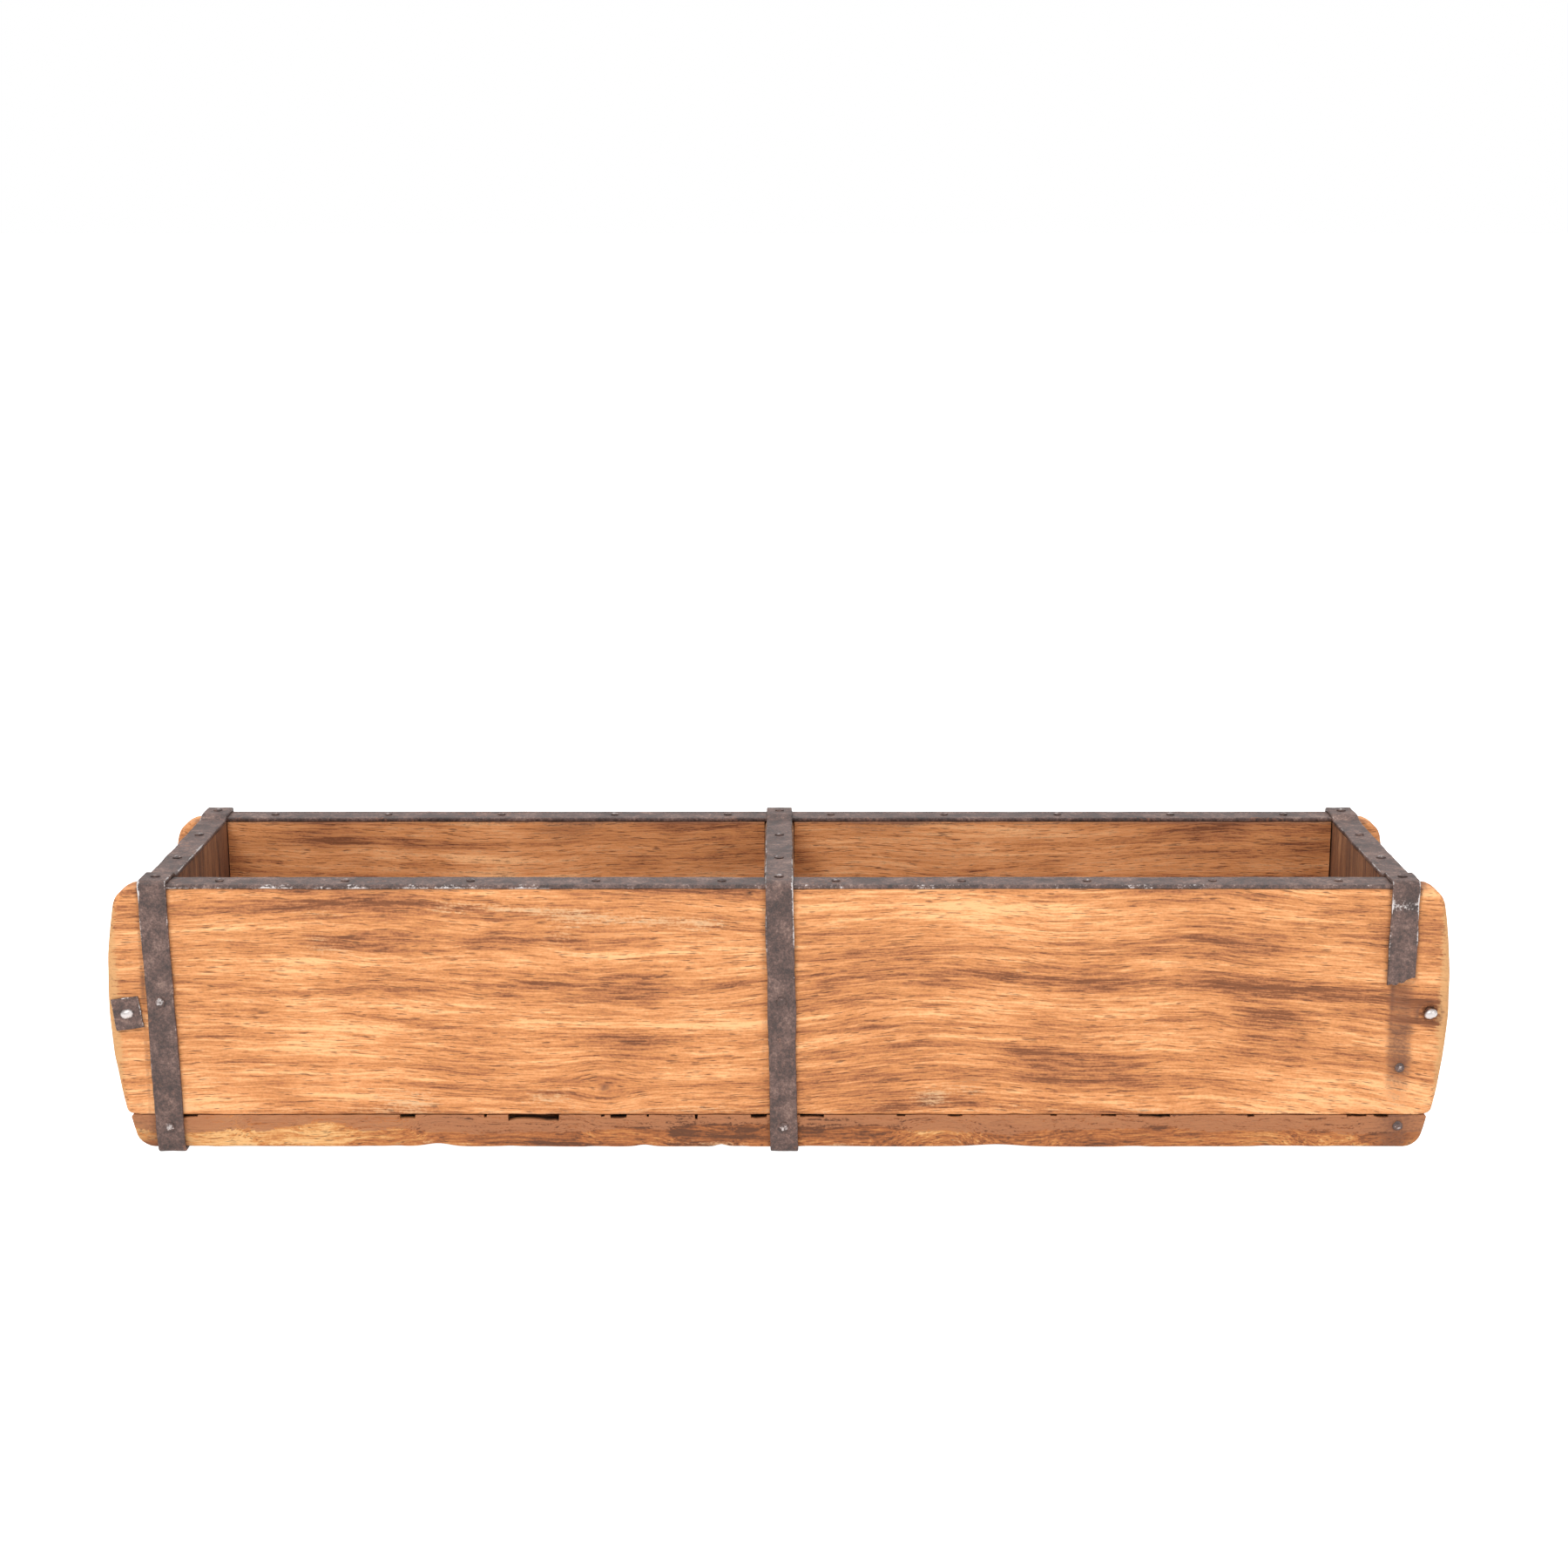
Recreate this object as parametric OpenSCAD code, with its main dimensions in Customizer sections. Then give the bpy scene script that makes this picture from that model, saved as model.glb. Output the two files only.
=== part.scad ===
// Two-bay wooden brick mould with hand-wrought iron straps.
// X runs along the box, Y from front to back, and Z up from the surface it stands on.
// Two long side boards with curved ears stand on a base board. Two end boards and a
// divider are housed in grooves between them. Iron bands cover the rims, and three
// straps hoop over the boards and fold under the base, so the box stands on their feet.
// The front leg of the right strap is torn off, as on the old box.

/* [Boards] */
// Clear length of each bay
bay_len = 260; // [200:1:320]
// Clear width between the two side boards
inner_w = 126; // [100:1:180]
// Height of the side boards
side_h = 103; // [80:1:150]
// Thickness of the side boards
side_t = 17; // [14:0.5:26]
// Thickness of the base board
base_t = 15; // [13:0.5:24]
// Thickness of the end boards
end_t = 12; // [10:0.5:18]
// Thickness of the divider between the bays
divider_t = 14; // [10:0.5:22]
// Depth of the grooves that house the end boards and the divider
housing_d = 4; // [2:0.5:7]
// Clearance on each side of a housed board
housing_fit = 0.15; // [0.05:0.05:0.4]

/* [Ears and corners] */
// Wood from the middle of a tie rod to the end of its ear
ear_land = 8.5; // [6:0.5:30]
// Radius of the barrel curve on the ears
barrel_r = 240; // [180:5:500]
// Radius of the ears' top corners
ear_corner_r = 9; // [4:0.5:16]
// Radius of the ears' lower corners
ear_toe_r = 3; // [1:0.5:8]
// Worn chamfer along the outer edge of the ears
ear_wear = 2.5; // [0.5:0.5:5]
// Radius of the base board's lower corners
base_corner_r = 8; // [3:0.5:10]
// Radius of the base board's upper corners
base_shoulder_r = 1; // [0.5:0.5:3]
// How far the base board stops short of the side boards' curve
base_setback = 1.5; // [0:0.5:4]

/* [Straps] */
// Width of the cross straps
strap_w = 12.5; // [10:0.5:20]
// Thickness of the cross straps
strap_t = 2; // [1.5:0.1:3]
// Lean of the front strap legs from upright
strap_lean = 1.2; // [0:0.1:2]
// Length of the foot that each strap folds under the base
fold_len = 22; // [12:1:40]
// Length over which a strap steps down from a rim band to a board
joggle_run = 5; // [3:0.5:10]
// Height above the base board of the lowest point of the torn strap leg
torn_height = 60; // [30:1:75]

/* [Rim bands] */
// Width of the bands along the top of the side boards
rim_w = 16; // [12:0.5:17]
// Thickness of the rim bands
rim_t = 2; // [1.5:0.1:3]
// How far the rim bands stop inside the outer edge of the end straps
rim_setback = 1.5; // [0:0.5:4]

/* [Tie rods and washers] */
// Diameter of the rods that tie the ears together
rod_d = 4.2; // [3:0.2:6]
// Height of the rods above the base board
rod_height = 47; // [30:1:60]
// Clearance between a rod and its hole
rod_fit = 0.2; // [0.1:0.05:0.4]
// Width of the collar that is peened over at each end of a rod
peen_lip = 0.7; // [0.5:0.1:1.5]
// Height of the peened ends
peen_h = 1.6; // [1:0.1:3]
// Width of the square washers
washer_w = 12.4; // [9:0.2:16]
// Height of the square washers
washer_h = 14.4; // [9:0.2:18]
// Thickness of the square washers
washer_t = 1.5; // [1:0.1:3]
// Angle at which the washers were set
washer_turn = 8; // [0:1:15]
// Gap between a washer and the strap beside it
washer_gap = 0.4; // [0.3:0.1:3]

/* [Nails] */
// Shank diameter of the strap nails
strap_nail_d = 2.6; // [2:0.1:3.2]
// Head diameter of the strap nails
strap_nail_head_d = 4.4; // [3.8:0.1:6]
// Length of the strap nails
strap_nail_len = 34; // [24:1:40]
// Distance between the two middle nails of a strap
strap_nail_pitch = 50; // [30:1:70]
// Depth of the upper leg nails below the top of the rim bands
leg_nail_drop = 52.5; // [45:0.5:65]
// Depth below the same level of the bare upper nail that the torn leg has left
bare_nail_drop = 83; // [70:1:90]
// Depth below the deck of the lower leg nails, which enter the base board
low_nail_depth = 5; // [3.5:0.5:8]
// Shank diameter of the rim nails
rim_nail_d = 2; // [1.5:0.1:3]
// Head diameter of the rim nails
rim_nail_head_d = 4; // [3.5:0.1:6]
// Length of the rim nails
rim_nail_len = 24; // [16:1:32]
// Distance of the first rim nail from the middle of the box
rim_nail_start = 25; // [15:1:35]
// Distance between the rim nails
rim_nail_pitch = 55; // [40:1:80]
// Shank diameter of the nails through the base
base_nail_d = 2.8; // [2:0.1:4]
// Head diameter of the nails through the base
base_nail_head_d = 5.6; // [4.8:0.1:8]
// Length of the nails through the base
base_nail_len = 42; // [32:1:50]
// Distance between the base nails along a side board
base_nail_pitch = 80; // [50:1:120]
// Height of the nail heads
nail_head_h = 1; // [0.5:0.1:1.4]
// Clearance between a nail and its hole
nail_fit = 0.1; // [0.05:0.05:0.2]

/* [Hidden] */
$fn = 48;
// Straight steps along a barrel curve, a corner and a strap bend
barrel_steps = 14;
corner_steps = 6;
bend_steps = 5;
// How far a cut runs past the face that it opens
over = 1;

// Heights, from the surface up
base_z = strap_t;
deck_z = base_z + base_t;
wall_z = deck_z + side_h;
rim_z = wall_z + rim_t;
top_z = rim_z + strap_t;
belly_z = deck_z + side_h / 2;
rod_z = deck_z + rod_height;
torn_z = deck_z + torn_height;
leg_nail_z = rim_z - leg_nail_drop;
bare_nail_z = rim_z - bare_nail_drop;
low_nail_z = deck_z - low_nail_depth;

// Distances from the middle, along Y
wall_y = inner_w / 2;
face_y = wall_y + side_t;
side_mid_y = wall_y + side_t / 2;
rim_in_y = face_y - rim_w;
rim_mid_y = face_y - rim_w / 2;
tongue_y = wall_y + housing_d - housing_fit;
strap_nail_y = strap_nail_pitch / 2;
end_nail_y = wall_y / 2;

// Distances from the middle, along X
end_in_x = divider_t / 2 + bay_len;
strap_x = end_in_x + end_t / 2;
washer_reach = washer_w / 2 * cos(washer_turn) + washer_h / 2 * sin(washer_turn);
rod_x = strap_x + strap_w / 2 + washer_gap + washer_reach;
half_len = rod_x + ear_land;
rim_half = strap_x + strap_w / 2 - rim_setback;

// Places of the rim nails and base nails in one half of a board
rim_nail_x = [for (x = [rim_nail_start:rim_nail_pitch:end_in_x - 2 * rim_nail_head_d]) x];
base_nail_x = [for (x = [base_nail_pitch / 2:base_nail_pitch:end_in_x - base_nail_pitch / 4]) x];

// Torn edge of the strap leg, from right to left: share of the width, and rise
torn_edge = [
    [1, 3.7], [0.82, 3.5], [0.65, 2.5], [0.57, 1.2], [0.45, 0.9], [0.38, 2.3],
    [0.36, 0.3], [0.24, 0.1], [0.14, 0.8], [0, 0],
];

board_brown = "#c17a3c";
deck_brown = "#9a6034";
end_brown = "#a5683a";
iron_brown = "#4b3d39";
bare_steel = "#9b958c";

// Sideways shift of a leaning front leg at height z
function lean_at(z) = tan(strap_lean) * (rim_z - z);

// Points along an arc in a plane
function arc(cx, cy, r, from, to, steps) =
    [for (i = [0:steps]) let (a = from + (to - from) * i / steps) [cx + r * cos(a), cy + r * sin(a)]];

// Middle of a corner round that is tangent inside the barrel curve
function corner_x(reach, z, r) =
    reach - barrel_r + sqrt(pow(barrel_r - r, 2) - pow(z - belly_z, 2));

// Direction in which that corner round meets the barrel curve
function corner_a(z, r) = asin((z - belly_z) / (barrel_r - r));

// Right-hand end of a board in the XZ plane: toe, barrel curve and shoulder
function end_curve(reach, low, high, toe_r, shoulder_r) =
    let (
        toe_z = low + toe_r,
        shoulder_z = high - shoulder_r,
        toe_a = corner_a(toe_z, toe_r),
        shoulder_a = corner_a(shoulder_z, shoulder_r),
        barrel = arc(reach - barrel_r, belly_z, barrel_r, toe_a, shoulder_a, barrel_steps)
    )
    concat(
        arc(corner_x(reach, toe_z, toe_r), toe_z, toe_r, -90, toe_a, corner_steps),
        [for (i = [1:barrel_steps - 1]) barrel[i]],
        arc(corner_x(reach, shoulder_z, shoulder_r), shoulder_z, shoulder_r, shoulder_a, 90, corner_steps)
    );

// Whole board outline: the end curve and its mirror image
function board_outline(reach, low, high, toe_r, shoulder_r) =
    let (right = end_curve(reach, low, high, toe_r, shoulder_r))
    concat(right, [for (i = [len(right) - 1:-1:0]) [-right[i][0], right[i][1]]]);

// Extrudes an XZ outline along Y, from y_from to y_to
module along_y(y_from, y_to) {
    translate([0, y_to, 0]) rotate([90, 0, 0]) linear_extrude(y_to - y_from) children();
}

// Extrudes a YZ outline along X, centred on x
module across(width, x) {
    translate([x - width / 2, 0, 0]) rotate([90, 0, 90]) linear_extrude(width) children();
}

// The sides are drawn with Y outward, and the front one is turned over to the front
module outward(front) {
    mirror([0, front ? 1 : 0, 0]) children();
}

// Turns an upright nail or bore so that its head faces outward along Y
module facing_y() {
    rotate([-90, 0, 0]) children();
}

// Nail with a domed head above z = 0 and a pointed shank below
module nail(d, head_d, length) {
    dome = [for (i = [0:3]) [head_d / 2 * sin(30 * i), nail_head_h * cos(30 * i)]];
    rotate_extrude() polygon(concat(dome, [[d / 2, 0], [d / 2, 2 * d - length], [0, -length]]));
}

// Hole for a nail, open at the top
module nail_bore(d, length) {
    translate([0, 0, -length - nail_fit]) cylinder(d = d + 2 * nail_fit, h = length + nail_fit + over);
}

// Repeats a nail or bore at every rim nail
module at_rim_nails() {
    for (side = [-1, 1], x = rim_nail_x) translate([side * x, rim_mid_y, rim_z]) children();
}

// Repeats a nail or bore at the nails through one rim band at each strap
module at_strap_rim_nails() {
    for (x = [-strap_x, 0, strap_x]) translate([x, rim_mid_y, top_z]) children();
}

// Repeats a nail or bore at the base nails along one side board, heads down
module at_side_base_nails() {
    for (side = [-1, 1], x = base_nail_x) {
        translate([side * x, side_mid_y, base_z]) rotate([180, 0, 0]) children();
    }
}

// Repeats a nail or bore at the base nails under one end board or the divider
module at_end_base_nails(x) {
    for (side = [-1, 1]) translate([x, side * end_nail_y, base_z]) rotate([180, 0, 0]) children();
}

// Repeats a nail or bore at the middle nails of one strap
module at_strap_mid_nails(x) {
    for (side = [-1, 1]) translate([x, side * strap_nail_y, wall_z + strap_t]) children();
}

// Repeats a nail or bore at the leg nails of one strap on one side
module at_leg_nails(x, front) {
    bare = front && x > 0;
    upper_z = bare ? bare_nail_z : leg_nail_z;
    seat_y = bare ? face_y : face_y + strap_t;
    for (z = [upper_z, low_nail_z]) {
        translate([x + (front ? lean_at(z) : 0), seat_y, z]) facing_y() children();
    }
}

// Bores of the leg nails of all straps on one side
module leg_nail_bores(front) {
    for (x = [-strap_x, 0, strap_x]) at_leg_nails(x, front) nail_bore(strap_nail_d, strap_nail_len);
}

// Outline of a side board that reaches that far from the middle
module side_outline(reach) {
    polygon(board_outline(reach, deck_z, wall_z, ear_toe_r, ear_corner_r));
}

// Side board with curved ears, grooves on its inner face and worn outer edges
module side_board(front) {
    outward(front) difference() {
        hull() {
            along_y(wall_y, face_y - ear_wear) side_outline(half_len);
            along_y(wall_y, face_y) side_outline(half_len - ear_wear);
        }
        groove(-strap_x, end_t);
        groove(0, divider_t);
        groove(strap_x, end_t);
        for (side = [-1, 1]) {
            translate([side * rod_x, wall_y - over, rod_z])
                facing_y() cylinder(d = rod_d + 2 * rod_fit, h = side_t + 2 * over);
        }
        at_rim_nails() nail_bore(rim_nail_d, rim_nail_len);
        at_strap_rim_nails() nail_bore(strap_nail_d, strap_nail_len);
        at_side_base_nails() nail_bore(base_nail_d, base_nail_len);
        leg_nail_bores(front);
    }
}

// Groove in a side board that houses a board of thickness t
module groove(x, t) {
    translate([x - t / 2 - housing_fit, wall_y - over, deck_z - over])
        cube([t + 2 * housing_fit, housing_d + over, side_h + 2 * over]);
}

// Board housed between the side boards
module cross_board(x, t) {
    difference() {
        translate([x - t / 2, -tongue_y, deck_z]) cube([t, 2 * tongue_y, side_h]);
        at_strap_mid_nails(x) nail_bore(strap_nail_d, strap_nail_len);
        at_end_base_nails(x) nail_bore(base_nail_d, base_nail_len);
        for (front = [true, false]) {
            outward(front) at_leg_nails(x, front) nail_bore(strap_nail_d, strap_nail_len);
        }
    }
}

module base_board() {
    color(deck_brown) difference() {
        along_y(-face_y, face_y) polygon(board_outline(
            half_len - base_setback, base_z, deck_z, base_corner_r, base_shoulder_r));
        for (front = [true, false]) {
            outward(front) {
                at_side_base_nails() nail_bore(base_nail_d, base_nail_len);
                leg_nail_bores(front);
            }
        }
        for (x = [-strap_x, 0, strap_x]) at_end_base_nails(x) nail_bore(base_nail_d, base_nail_len);
    }
}

module front_side_board() {
    color(board_brown) side_board(front = true);
}

module back_side_board() {
    color(board_brown) side_board(front = false);
}

module left_end_board() {
    color(end_brown) cross_board(-strap_x, end_t);
}

module right_end_board() {
    color(end_brown) cross_board(strap_x, end_t);
}

module centre_divider() {
    color(end_brown) cross_board(0, divider_t);
}

// Flat iron band along the top of a side board
module rim_band(front) {
    outward(front) color(iron_brown) difference() {
        translate([-rim_half, rim_in_y, wall_z]) cube([2 * rim_half, rim_w, rim_t]);
        at_rim_nails() nail_bore(rim_nail_d, rim_nail_len);
        at_strap_rim_nails() nail_bore(strap_nail_d, strap_nail_len);
    }
}

module front_rim_band() {
    rim_band(front = true);
}

module back_rim_band() {
    rim_band(front = false);
}

// Top of a strap in the YZ plane: bent over both rims and joggled down between them
module hoop(x) {
    joggle_a = atan(rim_t / joggle_run);
    shift = strap_t * tan(joggle_a / 2);
    low_y = rim_in_y - joggle_run;
    under = [[face_y, rim_z], [rim_in_y, rim_z], [low_y, wall_z]];
    upper = concat(
        [[low_y - shift, wall_z + strap_t], [rim_in_y - shift, top_z]],
        arc(face_y, rim_z, strap_t, 90, 0, bend_steps)
    );
    across(strap_w, x) polygon(concat(
        under,
        [for (i = [2:-1:0]) [-under[i][0], under[i][1]]],
        [for (i = [len(upper) - 1:-1:0]) [-upper[i][0], upper[i][1]]],
        upper
    ));
}

// Leg of a strap on the side facing +Y, and the foot that it folds under the base
module leg(x, lean) {
    half_w = strap_w / 2;
    shift = lean ? lean_at(base_z) : 0;
    along_y(face_y, face_y + strap_t) polygon([
        [x - half_w, rim_z], [x + half_w, rim_z], [x + half_w + shift, base_z], [x - half_w + shift, base_z],
    ]);
    across(strap_w, x + shift) polygon(concat(
        arc(face_y, base_z, strap_t, 0, -90, bend_steps),
        [[face_y + strap_t - fold_len, 0], [face_y + strap_t - fold_len, base_z]]
    ));
}

// What is left of a leg that has torn off, on the side facing +Y
module torn_leg(x) {
    along_y(face_y, face_y + strap_t) polygon(concat(
        [[x - strap_w / 2, rim_z], [x + strap_w / 2, rim_z]],
        [for (p = torn_edge) [x + (p[0] - 0.5) * strap_w, torn_z + p[1]]]
    ));
}

// Strap over the box at x, with its nail holes
module strap(x, torn) {
    color(iron_brown) difference() {
        union() {
            hoop(x);
            outward(true) {
                if (torn) {
                    torn_leg(x);
                } else {
                    leg(x, lean = true);
                }
            }
            outward(false) leg(x, lean = false);
        }
        at_strap_mid_nails(x) nail_bore(strap_nail_d, strap_nail_len);
        for (front = [true, false]) {
            outward(front) {
                translate([x, rim_mid_y, top_z]) nail_bore(strap_nail_d, strap_nail_len);
                at_leg_nails(x, front) nail_bore(strap_nail_d, strap_nail_len);
            }
        }
    }
}

module left_strap() {
    strap(-strap_x, torn = false);
}

module centre_strap() {
    strap(0, torn = false);
}

module right_strap() {
    strap(strap_x, torn = true);
}

// Rod through both ears, with a dome peened over at each end
module tie_rod(x) {
    half = face_y + washer_t;
    dome_d = rod_d + 2 * peen_lip;
    dome = [for (i = [0:4]) [dome_d / 2 * sin(22.5 * i), half + peen_h * cos(22.5 * i)]];
    tail = [for (i = [4:-1:0]) [dome[i][0], -dome[i][1]]];
    color(bare_steel) translate([x, 0, rod_z]) rotate([-90, 0, 0]) rotate_extrude()
        polygon(concat(dome, [[rod_d / 2, half], [rod_d / 2, -half]], tail));
}

module left_tie_rod() {
    tie_rod(-rod_x);
}

module right_tie_rod() {
    tie_rod(rod_x);
}

// Square washer under the peened end of a rod, on the side facing +Y
module washer(x, front) {
    color(iron_brown) outward(front) translate([x, face_y, rod_z]) rotate([0, -washer_turn, 0]) difference() {
        along_y(0, washer_t) square([washer_w, washer_h], center = true);
        translate([0, -over, 0]) facing_y() cylinder(d = rod_d + 2 * rod_fit, h = washer_t + 2 * over);
    }
}

module front_left_washer() {
    washer(-rod_x, front = true);
}

module back_left_washer() {
    washer(-rod_x, front = false);
}

module back_right_washer() {
    washer(rod_x, front = false);
}

module front_rim_nails() {
    color(iron_brown) outward(true) at_rim_nails() nail(rim_nail_d, rim_nail_head_d, rim_nail_len);
}

module back_rim_nails() {
    color(iron_brown) outward(false) at_rim_nails() nail(rim_nail_d, rim_nail_head_d, rim_nail_len);
}

// All nails of the strap at x
module strap_nails(x) {
    color(iron_brown) {
        at_strap_mid_nails(x) nail(strap_nail_d, strap_nail_head_d, strap_nail_len);
        for (front = [true, false]) {
            outward(front) {
                translate([x, rim_mid_y, top_z]) nail(strap_nail_d, strap_nail_head_d, strap_nail_len);
                at_leg_nails(x, front) nail(strap_nail_d, strap_nail_head_d, strap_nail_len);
            }
        }
    }
}

module left_strap_nails() {
    strap_nails(-strap_x);
}

module centre_strap_nails() {
    strap_nails(0);
}

module right_strap_nails() {
    strap_nails(strap_x);
}

// Nails up through the base into the side boards, the end boards and the divider
module base_nails() {
    color(iron_brown) {
        for (front = [true, false]) {
            outward(front) at_side_base_nails() nail(base_nail_d, base_nail_head_d, base_nail_len);
        }
        for (x = [-strap_x, 0, strap_x]) {
            at_end_base_nails(x) nail(base_nail_d, base_nail_head_d, base_nail_len);
        }
    }
}

base_board();
front_side_board();
back_side_board();
left_end_board();
right_end_board();
centre_divider();
front_rim_band();
back_rim_band();
left_strap();
centre_strap();
right_strap();
left_tie_rod();
right_tie_rod();
front_left_washer();
back_left_washer();
back_right_washer();
front_rim_nails();
back_rim_nails();
left_strap_nails();
centre_strap_nails();
right_strap_nails();
base_nails();
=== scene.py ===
"""Old two-bay wooden brick mould with hand-wrought iron straps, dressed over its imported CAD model.

X runs along the mould, Y from front to back and Z up. Shapes are worked out with numpy in
millimetres and turned to metres where a mesh is made. Every piece stands for the CAD node whose
place it takes, and rides on the one body that the model has.
"""

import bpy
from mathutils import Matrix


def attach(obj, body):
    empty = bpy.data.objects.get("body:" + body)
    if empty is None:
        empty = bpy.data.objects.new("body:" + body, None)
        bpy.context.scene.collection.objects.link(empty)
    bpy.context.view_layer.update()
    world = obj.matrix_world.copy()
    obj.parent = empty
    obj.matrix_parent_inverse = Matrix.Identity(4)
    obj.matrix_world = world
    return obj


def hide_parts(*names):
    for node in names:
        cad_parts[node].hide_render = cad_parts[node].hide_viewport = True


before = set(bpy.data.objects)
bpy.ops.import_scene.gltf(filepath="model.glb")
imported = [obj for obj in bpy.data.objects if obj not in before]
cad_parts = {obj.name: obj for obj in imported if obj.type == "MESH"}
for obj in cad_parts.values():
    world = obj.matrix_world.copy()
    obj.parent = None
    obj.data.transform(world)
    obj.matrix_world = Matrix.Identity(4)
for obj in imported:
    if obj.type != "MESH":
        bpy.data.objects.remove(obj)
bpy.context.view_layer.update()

import logging
import math
from collections.abc import Callable, Sequence
from dataclasses import dataclass, field
from enum import Enum

import bpy
import numpy as np
from numpy import ndarray as Array

LOG = logging.getLogger("brick_mould")
Material = bpy.types.Material
Socket = bpy.types.NodeSocket
Tree = bpy.types.NodeTree
MM = 0.001

# Heights, depths and lengths of the mould in millimetres, as the CAD model has them
FOOT_Z = 2.0
DECK_Z = 17.0
WALL_Z = 120.0
RIM_Z = 122.0
TOP_Z = 124.0
BELLY_Z = 68.5
ROD_Z = 64.0
FACE_Y = 80.0
WALL_Y = 63.0
BAND_Y = 72.0
CROSS_Y = 66.85
BAY_END_X = 273.0
ROD_X = 286.8
HALF_LEN = 295.278
BARREL_R = 240.0
IRON_T = 2.0
GROOVE_DEPTH = 4.0
TORN_Z = 77.0
STRAPS_X = (-BAY_END_X, 0.0, BAY_END_X)
# Lean of the straps' front legs in degrees
STRAP_LEAN = 1.2
# Middle and half width of the grooves that house the end boards and the divider
GROOVES = ((-BAY_END_X, 6.15), (0.0, 7.15), (BAY_END_X, 6.15))
# Places along X where the joint under the front board stands open: from, to, height
OPEN_JOINT = (
    (-265.7, -258.6, 1.5), (-168.6, -161.8, 1.9), (-131.2, -130.0, 1.9), (-120.5, -97.9, 2.9),
    (-79.2, -77.6, 1.6), (-75.0, -67.8, 2.0), (-58.8, -57.9, 1.5), (-37.4, -36.2, 2.2),
    (-12.5, -5.4, 1.7), (9.4, 20.0, 1.4), (52.4, 56.2, 1.0), (75.0, 81.6, 1.1), (120.8, 123.6, 1.1),
    (143.4, 150.0, 0.9), (160.0, 174.1, 1.3), (208.4, 211.4, 1.5), (252.6, 261.4, 1.0), (264.6, 271.0, 1.4),
)
# Edges that turn by more than this many degrees stay sharp
CREASE = 40.0


class Side(Enum):
    """A long side of the mould. The value is the sign of Y there."""

    FRONT = -1.0
    BACK = 1.0

    @property
    def word(self) -> str:
        """The side's name as the CAD nodes have it."""
        return self.name.lower()


# Noise and curves


def scatter(corner: Sequence[Array], seed: int) -> Array:
    """A random number from -1 to 1 at each corner of a grid of cells.

    The corner's three whole numbers and the seed are multiplied by large odd numbers and added,
    and the bits of the sum are mixed twice.

    Args:
        corner: Whole numbers of the corners along three axes.
        seed: Another seed gives other numbers.

    Returns:
        One number for each corner.
    """
    mask = np.uint64(0xFFFFFFFF)
    mixed = np.full(corner[0].shape, (seed * 2654435761) % 2**32, dtype=np.uint64)
    for part, factor in zip(corner, (374761393, 668265263, 1274126177)):
        mixed = (mixed + part.astype(np.uint64) * np.uint64(factor)) & mask
    for shift, factor in ((15, 2246822519), (13, 3266489917)):
        mixed = ((mixed ^ (mixed >> np.uint64(shift))) * np.uint64(factor)) & mask
    mixed ^= mixed >> np.uint64(16)
    return mixed.astype(float) / 2**31 - 1.0


def noise(places: Sequence[Array | float], cells: Sequence[float], seed: int) -> Array:
    """Smooth noise: the random numbers of a cell's eight corners, blended with 3t^2 - 2t^3.

    Args:
        places: Three coordinates of the points.
        cells: Size of a cell along each of them.
        seed: Another seed gives another pattern.

    Returns:
        Values from -1 to 1 at the points.
    """
    spread = np.broadcast_arrays(*[np.asarray(place, dtype=float) for place in places])
    scaled = [place / cell for place, cell in zip(spread, cells)]
    whole = [np.floor(value).astype(np.int64) for value in scaled]
    rest = [value - base for value, base in zip(scaled, whole)]
    blend = [t * t * (3.0 - 2.0 * t) for t in rest]
    total = np.zeros(spread[0].shape)
    for corner in range(8):
        steps = [(corner >> axis) & 1 for axis in range(3)]
        weight = 1.0
        for share, step in zip(blend, steps):
            weight = weight * (share if step else 1.0 - share)
        total += weight * scatter([base + step for base, step in zip(whole, steps)], seed)
    return total


def rough(places: Sequence[Array | float], cells: Sequence[float], seed: int, octaves: int = 3) -> Array:
    """Noise at several sizes: each next one has cells half as large and is half as strong.

    Args:
        places: Three coordinates of the points.
        cells: Size of the largest cells along each of them.
        seed: Another seed gives another pattern.
        octaves: How many sizes are added.

    Returns:
        Values from about -1 to 1 at the points.
    """
    total = 0.0
    for level in range(octaves):
        cell = [size / 2**level for size in cells]
        total = total + noise(places, cell, seed + 31 * level) / 2**level
    return total / (2.0 - 2.0 ** (1 - octaves))


def ease(value: Array, start: Array | float, end: Array | float) -> Array:
    """0 before start and 1 after end, with the curve 3t^2 - 2t^3 between them."""
    t = np.clip((value - start) / (end - start), 0.0, 1.0)
    return t * t * (3.0 - 2.0 * t)


def bell(value: Array, middle: Array | float, width: float) -> Array:
    """1 at the middle, falling off to both sides as exp(-((value - middle) / width)^2)."""
    return np.exp(-(((value - middle) / width) ** 2))


def spot(across: Array, up: Array, middle: Sequence[float], size: Sequence[float]) -> Array:
    """A bell in two directions about a middle, with its own radius along each."""
    return bell(across, middle[0], size[0]) * bell(up, middle[1], size[1])


def lines(start: float, stop: float, step: float, extra: Sequence[float] = ()) -> Array:
    """Evenly spaced numbers from start to stop with some more among them.

    Even ones that are closer to an extra one than 0.4 of the step are left out.

    Args:
        start: First number.
        stop: Last number.
        step: About the distance between even ones.
        extra: Numbers that are wanted exactly.

    Returns:
        The sorted numbers.
    """
    even = np.linspace(start, stop, max(2, round((stop - start) / step) + 1))
    wanted = np.array([value for value in extra if start < value < stop])
    if len(wanted):
        gap = np.abs(even[:, None] - wanted[None, :]).min(axis=1)
        even = even[(gap > 0.4 * step) | (even == start) | (even == stop)]
    return np.unique(np.concatenate([even, wanted]))


# Surfaces


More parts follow.
